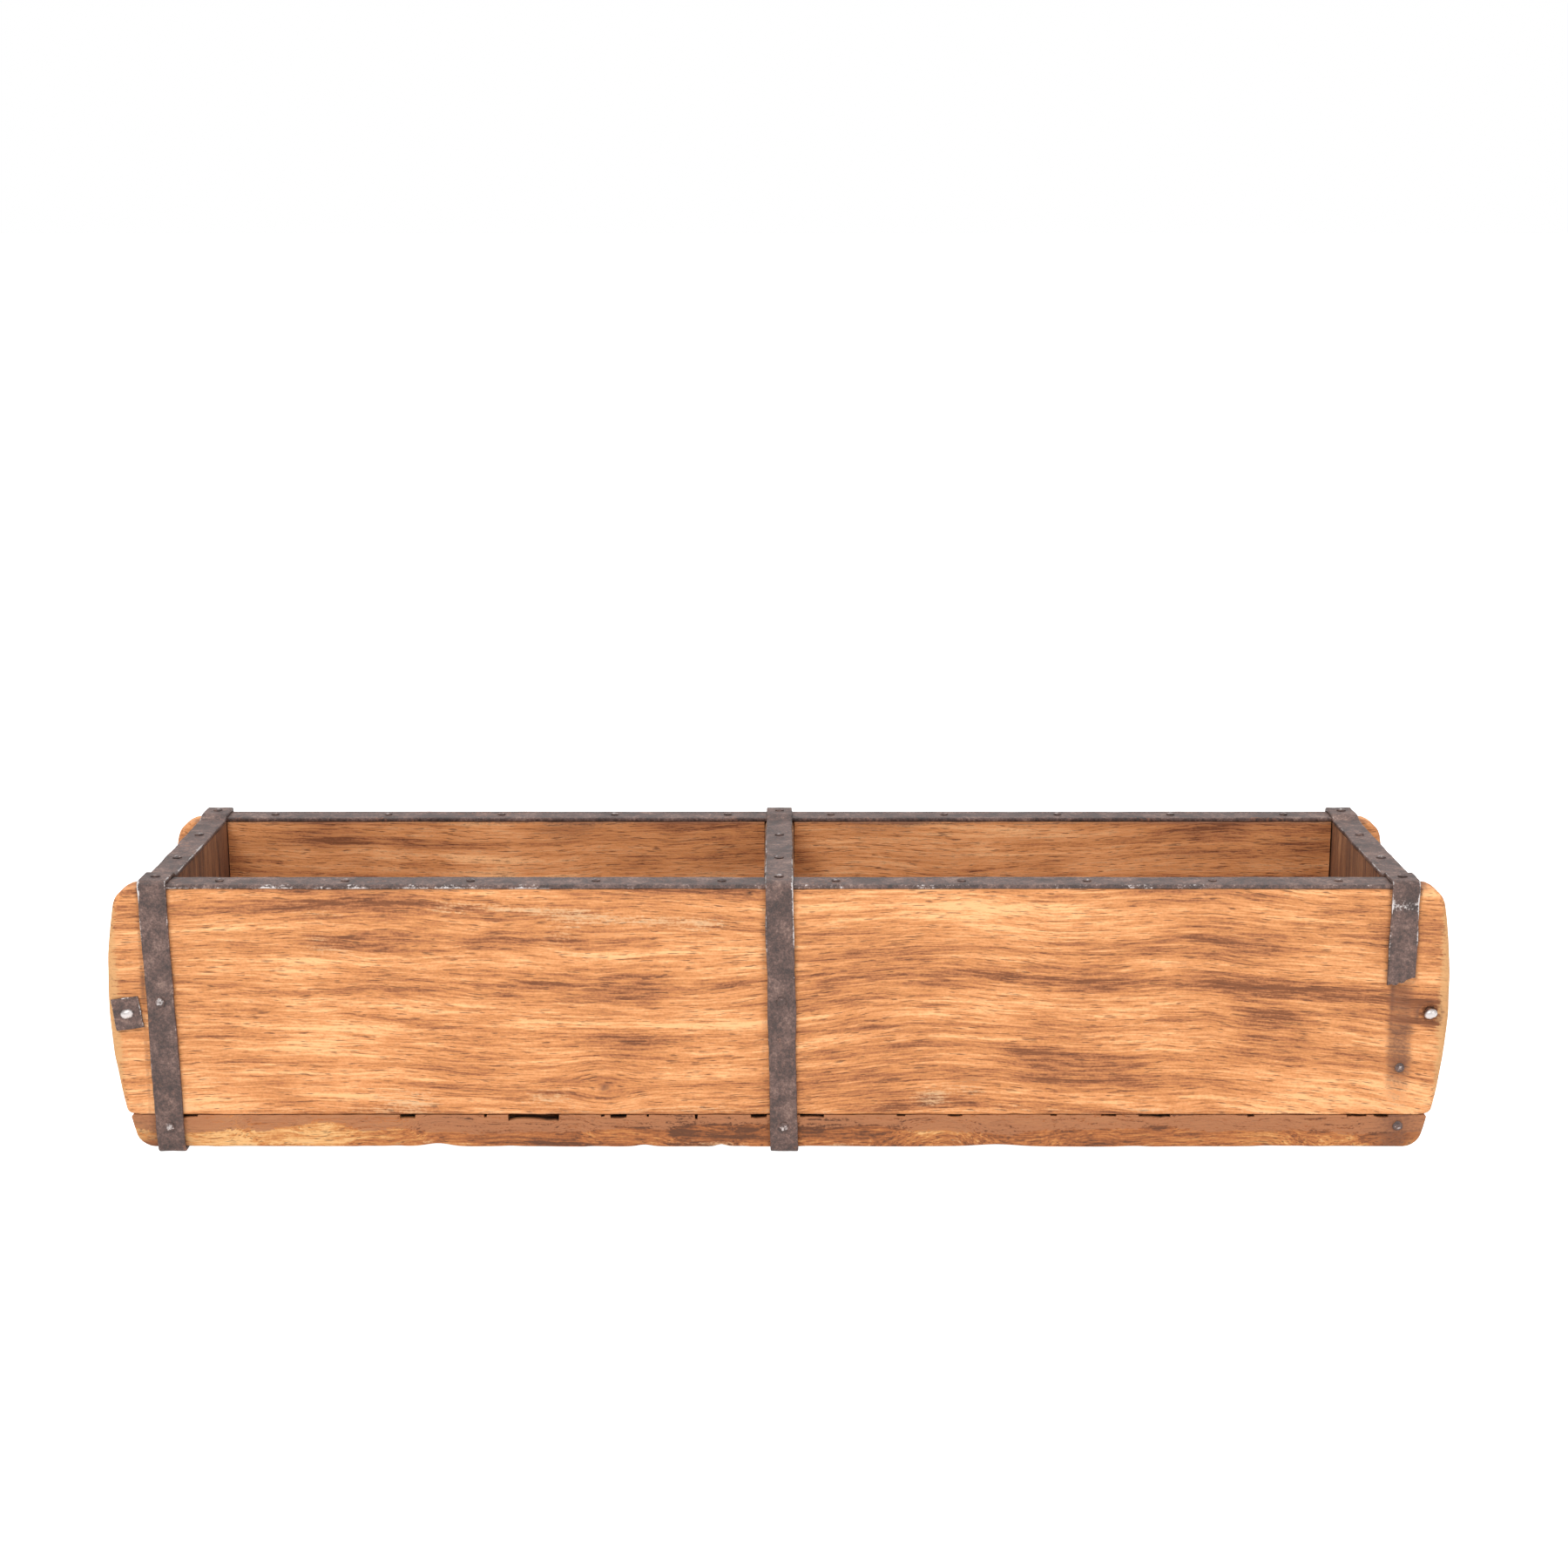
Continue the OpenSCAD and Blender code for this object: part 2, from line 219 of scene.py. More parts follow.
@dataclass
class Surface:
    """Points in millimetres, the faces between them, and values at the points for a material."""

    points: Array
    quads: Array
    tris: Array = field(default_factory=lambda: np.zeros((0, 3), dtype=int))
    marks: dict[str, Array] = field(default_factory=dict)


def joined(parts: Sequence[Surface]) -> Surface:
    """Puts several surfaces into one.

    Args:
        parts: Surfaces that carry the same marks.

    Returns:
        One surface with all their points, faces and marks.
    """
    starts = np.cumsum([0] + [len(part.points) for part in parts[:-1]])
    return Surface(
        np.concatenate([part.points for part in parts]),
        np.concatenate([part.quads + start for part, start in zip(parts, starts)]),
        np.concatenate([part.tris + start for part, start in zip(parts, starts)]),
        {key: np.concatenate([part.marks[key] for part in parts]) for key in parts[0].marks},
    )


def grid_quads(ids: Array, flip: bool = False) -> Array:
    """Faces of a grid of point numbers, which face along first axis x second axis."""
    quads = np.stack([ids[:-1, :-1], ids[1:, :-1], ids[1:, 1:], ids[:-1, 1:]], axis=-1).reshape(-1, 4)
    return quads[:, ::-1] if flip else quads


def block_lattice(nx: int, ny: int, nz: int) -> tuple[Array, Array, Array, Array]:
    """The six sides of a block as grids that share their edges.

    Args:
        nx: Number of lines along X.
        ny: Number of lines along Y.
        nz: Number of lines along Z.

    Returns:
        The line numbers of every point along X, Y and Z, and the faces, which face outward.
    """
    i, j, k = np.indices((nx, ny, nz))
    skin = (i % (nx - 1) == 0) | (j % (ny - 1) == 0) | (k % (nz - 1) == 0)
    ids = np.full(skin.shape, -1)
    ids[skin] = np.arange(skin.sum())
    quads = np.concatenate(
        [
            grid_quads(ids[-1], False),
            grid_quads(ids[0], True),
            grid_quads(ids[:, 0], False),
            grid_quads(ids[:, -1], True),
            grid_quads(ids[:, :, -1], False),
            grid_quads(ids[:, :, 0], True),
        ]
    )
    return i[skin], j[skin], k[skin], quads


def facing_out(surface: Surface) -> Surface:
    """Turns a closed surface's faces outward.

    The volume inside is the sum of a . (b x c) / 6 over its triangles a b c, and it comes out
    negative when the faces point inward.

    Args:
        surface: A closed surface whose faces all point the same way.

    Returns:
        The surface with its faces outward.
    """
    tris = np.concatenate([surface.tris, surface.quads[:, :3], surface.quads[:, [0, 2, 3]]])
    a, b, c = (surface.points[tris[:, corner]] for corner in range(3))
    if np.einsum("ij,ij->", a, np.cross(b, c)) / 6.0 > 0.0:
        return surface
    return Surface(surface.points, surface.quads[:, ::-1], surface.tris[:, ::-1], surface.marks)


def tube(rings: Array, marks: dict[str, Array]) -> Surface:
    """Rings of points joined into a closed skin, with a fan of triangles over each end.

    Args:
        rings: Points as (ring, place on the ring, xyz).
        marks: Values for the material as (ring, place on the ring).

    Returns:
        The closed surface. Its last two points are the middles of the ends.
    """
    count, around, _ = rings.shape
    ids = np.arange(count * around).reshape(count, around)
    wrapped = np.concatenate([ids, ids[:, :1]], axis=1)
    turn = np.roll(ids, -1, axis=1)
    start_fan = np.stack([turn[0], ids[0], np.full(around, ids.size)], axis=-1)
    end_fan = np.stack([ids[-1], turn[-1], np.full(around, ids.size + 1)], axis=-1)
    points = np.concatenate([rings.reshape(-1, 3), rings[[0, -1]].mean(axis=1)])
    fans = np.concatenate([start_fan, end_fan])[:, ::-1]
    held = {key: np.concatenate([value.ravel(), value[[0, -1]].mean(axis=1)]) for key, value in marks.items()}
    return facing_out(Surface(points, grid_quads(wrapped), fans, held))


def outward_points(points: Array, low: Array, high: Array, radius: float) -> tuple[Array, Array]:
    """Rounds the edges of a block's points.

    Each point is first held inside the block shrunk by the radius, and then set back one radius
    from there, in the direction in which it lay.

    Args:
        points: Points on the sides of the block.
        low: The block's lowest corner.
        high: The block's highest corner.
        radius: Radius of the edges.

    Returns:
        The rounded points and the directions outward.
    """
    core = np.clip(points, low + radius, high - radius)
    away = points - core
    away /= np.linalg.norm(away, axis=1, keepdims=True)
    return core + radius * away, away


def worn_block(low: Sequence[float], high: Sequence[float], steps: Sequence[float],
               radius: float) -> tuple[Surface, Array]:
    """A block with rounded edges as a fine lattice.

    Args:
        low: Lowest corner.
        high: Highest corner.
        steps: About the distance between lines along each axis.
        radius: Radius of the edges.

    Returns:
        The surface, and the direction outward at each point.
    """
    ends = np.array([0.0, 0.35, 0.7, 1.0]) * radius
    axes = []
    for a, b, step in zip(low, high, steps):
        extra = np.concatenate([a + ends[1:], b - ends[1:]])
        axes.append(lines(a, b, step, extra))
    i, j, k, quads = block_lattice(*[len(axis) for axis in axes])
    points = np.stack([axes[0][i], axes[1][j], axes[2][k]], axis=-1)
    points, away = outward_points(points, np.array(low), np.array(high), radius)
    return Surface(points, quads), away


# Meshes


def make_piece(node: str, stuff: str, surface: Surface, finish: Material) -> None:
    """Makes a mesh object of a surface and gives it its place in the frame.

    Args:
        node: CAD node that it stands for.
        stuff: What it is made of, which ends its name.
        surface: Its points, faces and marks.
        finish: Its material.
    """
    name = f"{node}_{stuff}"
    mesh = bpy.data.meshes.new(name)
    quads, tris = surface.quads, surface.tris
    mesh.vertices.add(len(surface.points))
    mesh.vertices.foreach_set("co", (surface.points * MM).astype(np.float32).ravel())
    mesh.loops.add(quads.size + tris.size)
    corners = np.concatenate([quads.ravel(), tris.ravel()]).astype(np.int32)
    mesh.loops.foreach_set("vertex_index", corners)
    mesh.polygons.add(len(quads) + len(tris))
    starts = np.concatenate([np.arange(len(quads)) * 4, quads.size + np.arange(len(tris)) * 3])
    mesh.polygons.foreach_set("loop_start", starts.astype(np.int32))
    mesh.update(calc_edges=True)
    mesh.shade_smooth()
    mesh.set_sharp_from_angle(angle=math.radians(CREASE))
    for key, values in surface.marks.items():
        kind, into = ("FLOAT", "value") if values.ndim == 1 else ("FLOAT_VECTOR", "vector")
        attribute = mesh.attributes.new(key, kind, "POINT")
        attribute.data.foreach_set(into, values.astype(np.float32).ravel())
    mesh.materials.append(finish)
    piece = bpy.data.objects.new(name, mesh)
    bpy.context.scene.collection.objects.link(piece)
    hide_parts(node)
    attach(piece, "root")
    LOG.info("%s: %d triangles", name, 2 * len(quads) + len(tris))


# Materials


def to_linear(colour: str) -> tuple[float, float, float, float]:
    """Turns an sRGB colour into a linear one.

    Args:
        colour: Hex colour such as "#c8854e".

    Returns:
        Linear red, green, blue and alpha.
    """
    parts = [int(colour[place : place + 2], 16) / 255.0 for place in (1, 3, 5)]
    linear = [part / 12.92 if part <= 0.04045 else ((part + 0.055) / 1.055) ** 2.4 for part in parts]
    return (linear[0], linear[1], linear[2], 1.0)


def add_node(tree: Tree, kind: str, inputs: dict | None = None, **settings: object) -> bpy.types.Node:
    """Adds a node to a tree.

    Args:
        tree: The material's or world's node tree.
        kind: Blender's name of the node's kind.
        inputs: Value for each input by its name or number, or the output to link to it.
        settings: The node's own settings.

    Returns:
        The new node.
    """
    node = tree.nodes.new(kind)
    for key, value in settings.items():
        setattr(node, key, value)
    for key, value in (inputs or {}).items():
        if isinstance(value, bpy.types.NodeSocket):
            tree.links.new(value, node.inputs[key])
        else:
            node.inputs[key].default_value = value
    return node


def background_rays(tree: Tree) -> Socket:
    """Tells the rays that show the white background from the others.

    Args:
        tree: Node tree that the nodes go into.

    Returns:
        1 for camera, glossy and transmission rays, and 0 for others.
    """
    path = add_node(tree, "ShaderNodeLightPath")
    seen = path.outputs["Is Camera Ray"]
    for ray in ("Is Glossy Ray", "Is Transmission Ray"):
        either = add_node(tree, "ShaderNodeMath", {0: seen, 1: path.outputs[ray]}, operation="MAXIMUM")
        seen = either.outputs[0]
    return seen


@dataclass
class Recipe:
    """The node tree of one material while it is being put together."""

    name: str
    material: Material = field(init=False)
    tree: Tree = field(init=False)

    def __post_init__(self) -> None:
        """Starts with an empty tree."""
        self.material = bpy.data.materials.new(self.name)
        self.material.use_nodes = True
        self.tree = self.material.node_tree
        self.tree.nodes.clear()

    def speckle(self, coords: Socket, cells: Sequence[float], detail: float, shift: float = 0.0) -> Socket:
        """Noise with cells of the given size along each axis of the coordinates.

        Args:
            coords: Coordinates in the same unit as the cells.
            cells: Size of a cell along each axis.
            detail: Number of finer layers.
            shift: Moves the pattern, so that no two are alike.

        Returns:
            The noise, about 0.5 on average.
        """
        scale = [1.0 / cell for cell in cells]
        mapped = add_node(self.tree, "ShaderNodeMapping",
                          {"Vector": coords, "Scale": scale, "Location": (shift, shift * 0.7, shift * 1.3)})
        made = add_node(self.tree, "ShaderNodeTexNoise",
                        {"Vector": mapped.outputs[0], "Scale": 1.0, "Detail": detail, "Roughness": 0.55})
        return made.outputs["Fac"]

    def weighted(self, parts: Sequence[tuple[Socket, float]], start: float) -> Socket:
        """Adds up a start value and each part less a half, times its weight.

        Args:
            parts: Values and their weights.
            start: Start value, which is also the average where the parts average a half.

        Returns:
            The sum.
        """
        total: Socket | float = start - 0.5 * sum(weight for _, weight in parts)
        for part, weight in parts:
            total = add_node(self.tree, "ShaderNodeMath", {0: part, 1: weight, 2: total},
                             operation="MULTIPLY_ADD").outputs[0]
        return total

    def toned(self, value: Socket, stops: Sequence[tuple[float, str]]) -> Socket:
        """Turns a value into a colour.

        Args:
            value: Value from 0 to 1.
            stops: Place and sRGB hex colour of each stop.

        Returns:
            The colour between the stops.
        """
        node = add_node(self.tree, "ShaderNodeValToRGB", {"Fac": value})
        elements = node.color_ramp.elements
        while len(elements) < len(stops):
            elements.new(0.5)
        for element, (place, colour) in zip(elements, stops):
            element.position = place
            element.color = to_linear(colour)
        return node.outputs["Color"]

    def between(self, value: Socket, low: float, high: float, top: float = 1.0) -> Socket:
        """Turns a value into a share that rises smoothly between two limits.

        Args:
            value: Value to look at.
            low: The share is 0 below this.
            high: The share is top above this.
            top: Highest share.

        Returns:
            The share.
        """
        return add_node(self.tree, "ShaderNodeMapRange",
                        {"Value": value, "From Min": low, "From Max": high, "To Min": 0.0, "To Max": top},
                        interpolation_type="SMOOTHSTEP").outputs["Result"]

    def mark(self, name: str) -> Socket:
        """A value that the mesh carries at its points."""
        return add_node(self.tree, "ShaderNodeAttribute", attribute_name=name).outputs["Fac"]

    def edged(self, name: str, ragged: Socket, low: float, high: float, top: float = 1.0) -> Socket:
        """A mark with a ragged edge: 0 where the two add up to less than low, and top above high."""
        edge = add_node(self.tree, "ShaderNodeMath", {0: self.mark(name), 1: ragged}, operation="ADD")
        return self.between(edge.outputs[0], low, high, top)

    def covered(self, share: Socket, under: Socket, over: str) -> Socket:
        """Lays an sRGB hex colour over another colour with a share."""
        return add_node(self.tree, "ShaderNodeMix", {0: share, 6: under, 7: to_linear(over)},
                        data_type="RGBA").outputs[2]

    def finish(self, **inputs: object) -> bpy.types.Material:
        """Ends the tree with the surface shader and its output.

        Args:
            inputs: Values or outputs for the shader's inputs, with _ for a space.

        Returns:
            The finished material.
        """
        sockets = {key.replace("_", " "): value for key, value in inputs.items()}
        shader = add_node(self.tree, "ShaderNodeBsdfPrincipled", sockets)
        add_node(self.tree, "ShaderNodeOutputMaterial", {"Surface": shader.outputs[0]})
        return self.material


@dataclass(frozen=True)
class WeatheredWood:
    """Old sheesham or mango wood, sawn, worn by hands and wet clay, and dried in the sun.

    Sawing leaves it dull and the weather raises its fibres, so the eye sees fine broken streaks
    along the grain, darker open pores, bleached patches, and brown where clay and rust soaked in.
    The same brown also paints shade inside the bays, under the rim bands and beside the straps,
    and black paints the shade inside holes and the open joint.
    """

    name: str
    tones: tuple[tuple[float, str], ...]
    bleached: str = "#d9b48a"
    stained: str = "#6f4733"
    clay: str = "#a8704b"
    worn: str = "#d3a06a"
    pores: str = "#5a3420"
    # Black painted shade for the insides of holes and the open joint
    gap: str = "#17100b"
    roughness: float = 0.78

    def build(self) -> Material:
        """Puts the wood together from its figure, pores and marks.

        Returns:
            The material.
        """
        r = Recipe(self.name)
        coords = add_node(r.tree, "ShaderNodeAttribute", attribute_name="grain").outputs["Vector"]
        # Growth bands 9 mm wide, lines 1.8 mm, and fibres 0.7 mm, which is coarser than real fibres
        bands = r.speckle(coords, (170.0, 9.0, 9.0), 3.0)
        streaks = r.speckle(coords, (46.0, 1.8, 1.8), 2.0, 3.1)
        fibres = r.speckle(coords, (11.0, 0.7, 0.7), 2.0, 7.7)
        patches = r.speckle(coords, (60.0, 34.0, 34.0), 3.0, 1.9)
        grit = r.speckle(coords, (1.3, 0.9, 0.9), 2.0, 5.3)
        tone = r.weighted([(bands, 1.5), (streaks, 1.15), (fibres, 1.1), (patches, 1.1), (grit, 0.45)], 0.5)
        colour = r.toned(tone, self.tones)

        # Open pores are dashes half a millimetre wide and up to 8 mm long
        dashes = r.speckle(coords, (7.0, 0.55, 0.55), 1.0, 11.3)
        pores = r.between(dashes, 0.60, 0.72, 0.75)
        colour = r.covered(pores, colour, self.pores)

        ragged = r.weighted([(streaks, 0.7), (fibres, 0.7), (grit, 0.6)], 0.0)
        for name, over, low, high, top in (
            ("pale", self.bleached, 0.35, 0.75, 0.8),
            ("worn", self.worn, 0.35, 0.7, 0.85),
            ("clay", self.clay, 0.42, 0.58, 0.9),
            # Brown for rust and clay stains, and also painted shade inside the bays, under the bands and
            # beside the straps
            ("stain", self.stained, 0.25, 0.9, 0.92),
        ):
            colour = r.covered(r.edged(name, ragged, low, high, top), colour, over)
        # Painted shade: black over the dark mark, in holes and in the open joint under the front board
        colour = r.covered(r.mark("dark"), colour, self.gap)

        height = r.weighted([(fibres, 0.8), (streaks, 0.6), (grit, 0.3), (pores, -1.0)], 0.5)
        bump = add_node(r.tree, "ShaderNodeBump", {"Strength": 0.55, "Distance": 0.0006, "Height": height})
        return r.finish(Base_Color=colour, Roughness=self.roughness, Normal=bump.outputs[0], IOR=1.5)


@dataclass(frozen=True)
class WroughtIron:
    """Hand-forged hoop iron under a thin hard rust, rubbed bright along its edges.

    The hammer and the fire leave it dark and uneven, brown rust dulls it, and years of handling
    polish the edges and high spots back to grey metal. The same grey also paints a highlight
    along the lower outer edge of the rim bands, strongest on the left of the front band.
    """

    name: str = "wrought_iron"
    tones: tuple[tuple[float, str], ...] = (
        (0.1, "#2f2320"), (0.4, "#4a3833"), (0.65, "#664f48"), (0.95, "#8b7267"))
    rust: str = "#8a5636"
    steel: str = "#b4aeac"

    def build(self) -> Material:
        """Puts the iron together from its scale, its rust and its rubbed edges.

        Returns:
            The material.
        """
        r = Recipe(self.name)
        coords = add_node(r.tree, "ShaderNodeTexCoord").outputs["Object"]
        # Blotches of 9 mm, pits of 1.8 mm, and grit of 0.7 mm
        blotches = r.speckle(coords, (9.0 * MM,) * 3, 3.0)
        pits = r.speckle(coords, (1.8 * MM,) * 3, 2.0, 2.3)
        grit = r.speckle(coords, (0.7 * MM,) * 3, 1.0, 4.1)
        tone = r.weighted([(blotches, 1.3), (pits, 1.1), (grit, 0.7)], 0.5)
        ragged = r.weighted([(pits, 0.9), (grit, 0.5)], 0.0)
        colour = r.covered(r.edged("rust", ragged, 0.3, 0.8, 0.85), r.toned(tone, self.tones), self.rust)
        # The bright mark is rubbed metal, and on the rim bands also a painted highlight
        bright = r.edged("bright", ragged, 0.42, 0.72)
        colour = r.covered(bright, colour, self.steel)
        roughness = r.weighted([(pits, 0.3), (bright, -0.2)], 0.5)
        height = r.weighted([(pits, 1.0), (grit, 0.5), (blotches, 0.6)], 0.5)
        bump = add_node(r.tree, "ShaderNodeBump", {"Strength": 0.5, "Distance": 0.0005, "Height": height})
        return r.finish(Base_Color=colour, Metallic=bright, Roughness=roughness, Normal=bump.outputs[0])


# Boards


def barrel_reach(z: Array, reach: float, low: float, high: float, toe: float, shoulder: float) -> Array:
    """Half length of a board with barrel-curved ends at a height.

    Between its corners the end is an arc of the barrel radius about the belly's height. Each
    corner is a round that touches that arc from inside and the board's top or bottom.

    Args:
        z: Heights.
        reach: Half length at the belly.
        low: Height of the board's bottom.
        high: Height of its top.
        toe: Radius of the lower corner.
        shoulder: Radius of the upper corner.

    Returns:
        The half length at each height.
    """
    centre = reach - BARREL_R
    arc = centre + np.sqrt(BARREL_R**2 - (z - BELLY_Z) ** 2)
    for radius, level, sign in ((toe, low + toe, -1.0), (shoulder, high - shoulder, 1.0)):
        rise = level - BELLY_Z
        corner_x = centre + math.sqrt((BARREL_R - radius) ** 2 - rise**2)
        touch = BELLY_Z + rise * BARREL_R / (BARREL_R - radius)
        round_x = corner_x + np.sqrt(np.clip(radius**2 - (z - level) ** 2, 0.0, None))
        arc = np.where((z - touch) * sign > 0.0, round_x, arc)
    return arc


def corner_lines(low: float, high: float, toe: float, shoulder: float, step: float,
                 extra: Sequence[float] = ()) -> Array:
    """Heights of a board's lines, closer together round its corners.

    A round's lines lie at r (1 - sin a) from the board's edge, at even angles a.

    Args:
        low: Height of the board's bottom.
        high: Height of its top.
        toe: Radius of the lower corner.
        shoulder: Radius of the upper corner.
        step: About the distance between lines elsewhere.
        extra: Heights that are wanted exactly.

    Returns:
        The sorted heights.
    """
    rise = 1.0 - np.sin(np.radians(np.linspace(0.0, 90.0, 7)))
    return lines(low, high, step, np.concatenate([low + toe * rise, high - shoulder * rise, extra]))


@dataclass
class Plank:
    """A board whose outline in XZ is carried along Y, with arrises worn by use.

    A point's line numbers give its place in the outline and its depth. Each arris is a quarter
    round: at turn a, depth r (1 - sin a) and inset r (1 - cos a).
    """

    reach: float
    low: float
    high: float
    toe: float
    shoulder: float
    near: float
    far: float
    core: float
    x_lines: Array
    z_lines: Array
    depth_steps: int
    wear: Callable[[Array, Array], Array]
    face_fade: float = 8.0
    edge_fade: float = 5.0
    arris_fade: float = 6.0

    def lattice(self) -> Surface:
        """Works out the points of the worn board before its faces get their relief.

        Returns:
            The board's surface.
        """
        turn = np.radians(np.array([90.0, 62.0, 36.0, 14.0]))
        ends = len(turn)
        middle = np.linspace(0.0, 1.0, self.depth_steps)
        pad = np.zeros(self.depth_steps)
        rise = np.concatenate([1.0 - np.sin(turn), pad + 1.0, np.ones(ends)])
        across = np.concatenate([np.zeros(ends), middle, np.ones(ends)])
        leave = np.concatenate([np.zeros(ends), pad, np.sin(turn[::-1])])
        inset_near = np.concatenate([1.0 - np.cos(turn), pad, np.zeros(ends)])
        inset_far = inset_near[::-1]
        i, j, k, quads = block_lattice(len(self.x_lines), len(rise), len(self.z_lines))
        along, z = self.x_lines[i], self.z_lines[k]
        size = np.abs(along)
        t = np.clip((size - self.core) / (self.reach - self.core), 0.0, 1.0)
        half = barrel_reach(z, self.reach, self.low, self.high, self.toe, self.shoulder)
        guess = np.where(size <= self.core, along, np.sign(along) * (self.core + t * (half - self.core)))
        radius = self.wear(guess, z)
        inset = radius * (inset_near[j] + inset_far[j])
        x = np.where(size <= self.core, along, np.sign(along) * (self.core + t * (half - inset - self.core)))
        near_low = np.clip(1.0 - (z - self.low) / self.arris_fade, 0.0, 1.0)
        lift = near_low - np.clip(1.0 - (self.high - z) / self.arris_fade, 0.0, 1.0)
        depth = radius * rise[j] + (self.far - self.near - 2.0 * radius) * across[j] + radius * leave[j]
        points = np.stack([x, self.near + depth, z + inset * lift], axis=-1)
        return Surface(points, quads)

    def carve(self, surface: Surface, near: Array, far: Array, top: Array, bottom: Array) -> None:
        """Moves the faces outward by reliefs that fade out behind each face.

        Args:
            surface: The board's surface, whose points are moved.
            near: Outward relief of the face at the near depth.
            far: The same at the far depth.
            top: Relief of the top.
            bottom: Relief of the bottom.
        """
        x, y, z = surface.points.T
        near_share = np.clip(1.0 - (y - self.near) / self.face_fade, 0.0, 1.0)
        far_share = np.clip(1.0 - (self.far - y) / self.face_fade, 0.0, 1.0)
        top_share = np.clip(1.0 - (self.high - z) / self.edge_fade, 0.0, 1.0)
        low_share = np.clip(1.0 - (z - self.low) / self.edge_fade, 0.0, 1.0)
        surface.points = np.stack(
            [x, y - near * near_share + far * far_share, z + top * top_share - bottom * low_share], axis=-1
        )


def pairs(places: Sequence[float], half_gap: float = 0.06) -> list[float]:
    """Two lines close to each place, for a step in a face."""
    return [place + side * half_gap for place in places for side in (-1.0, 1.0)]


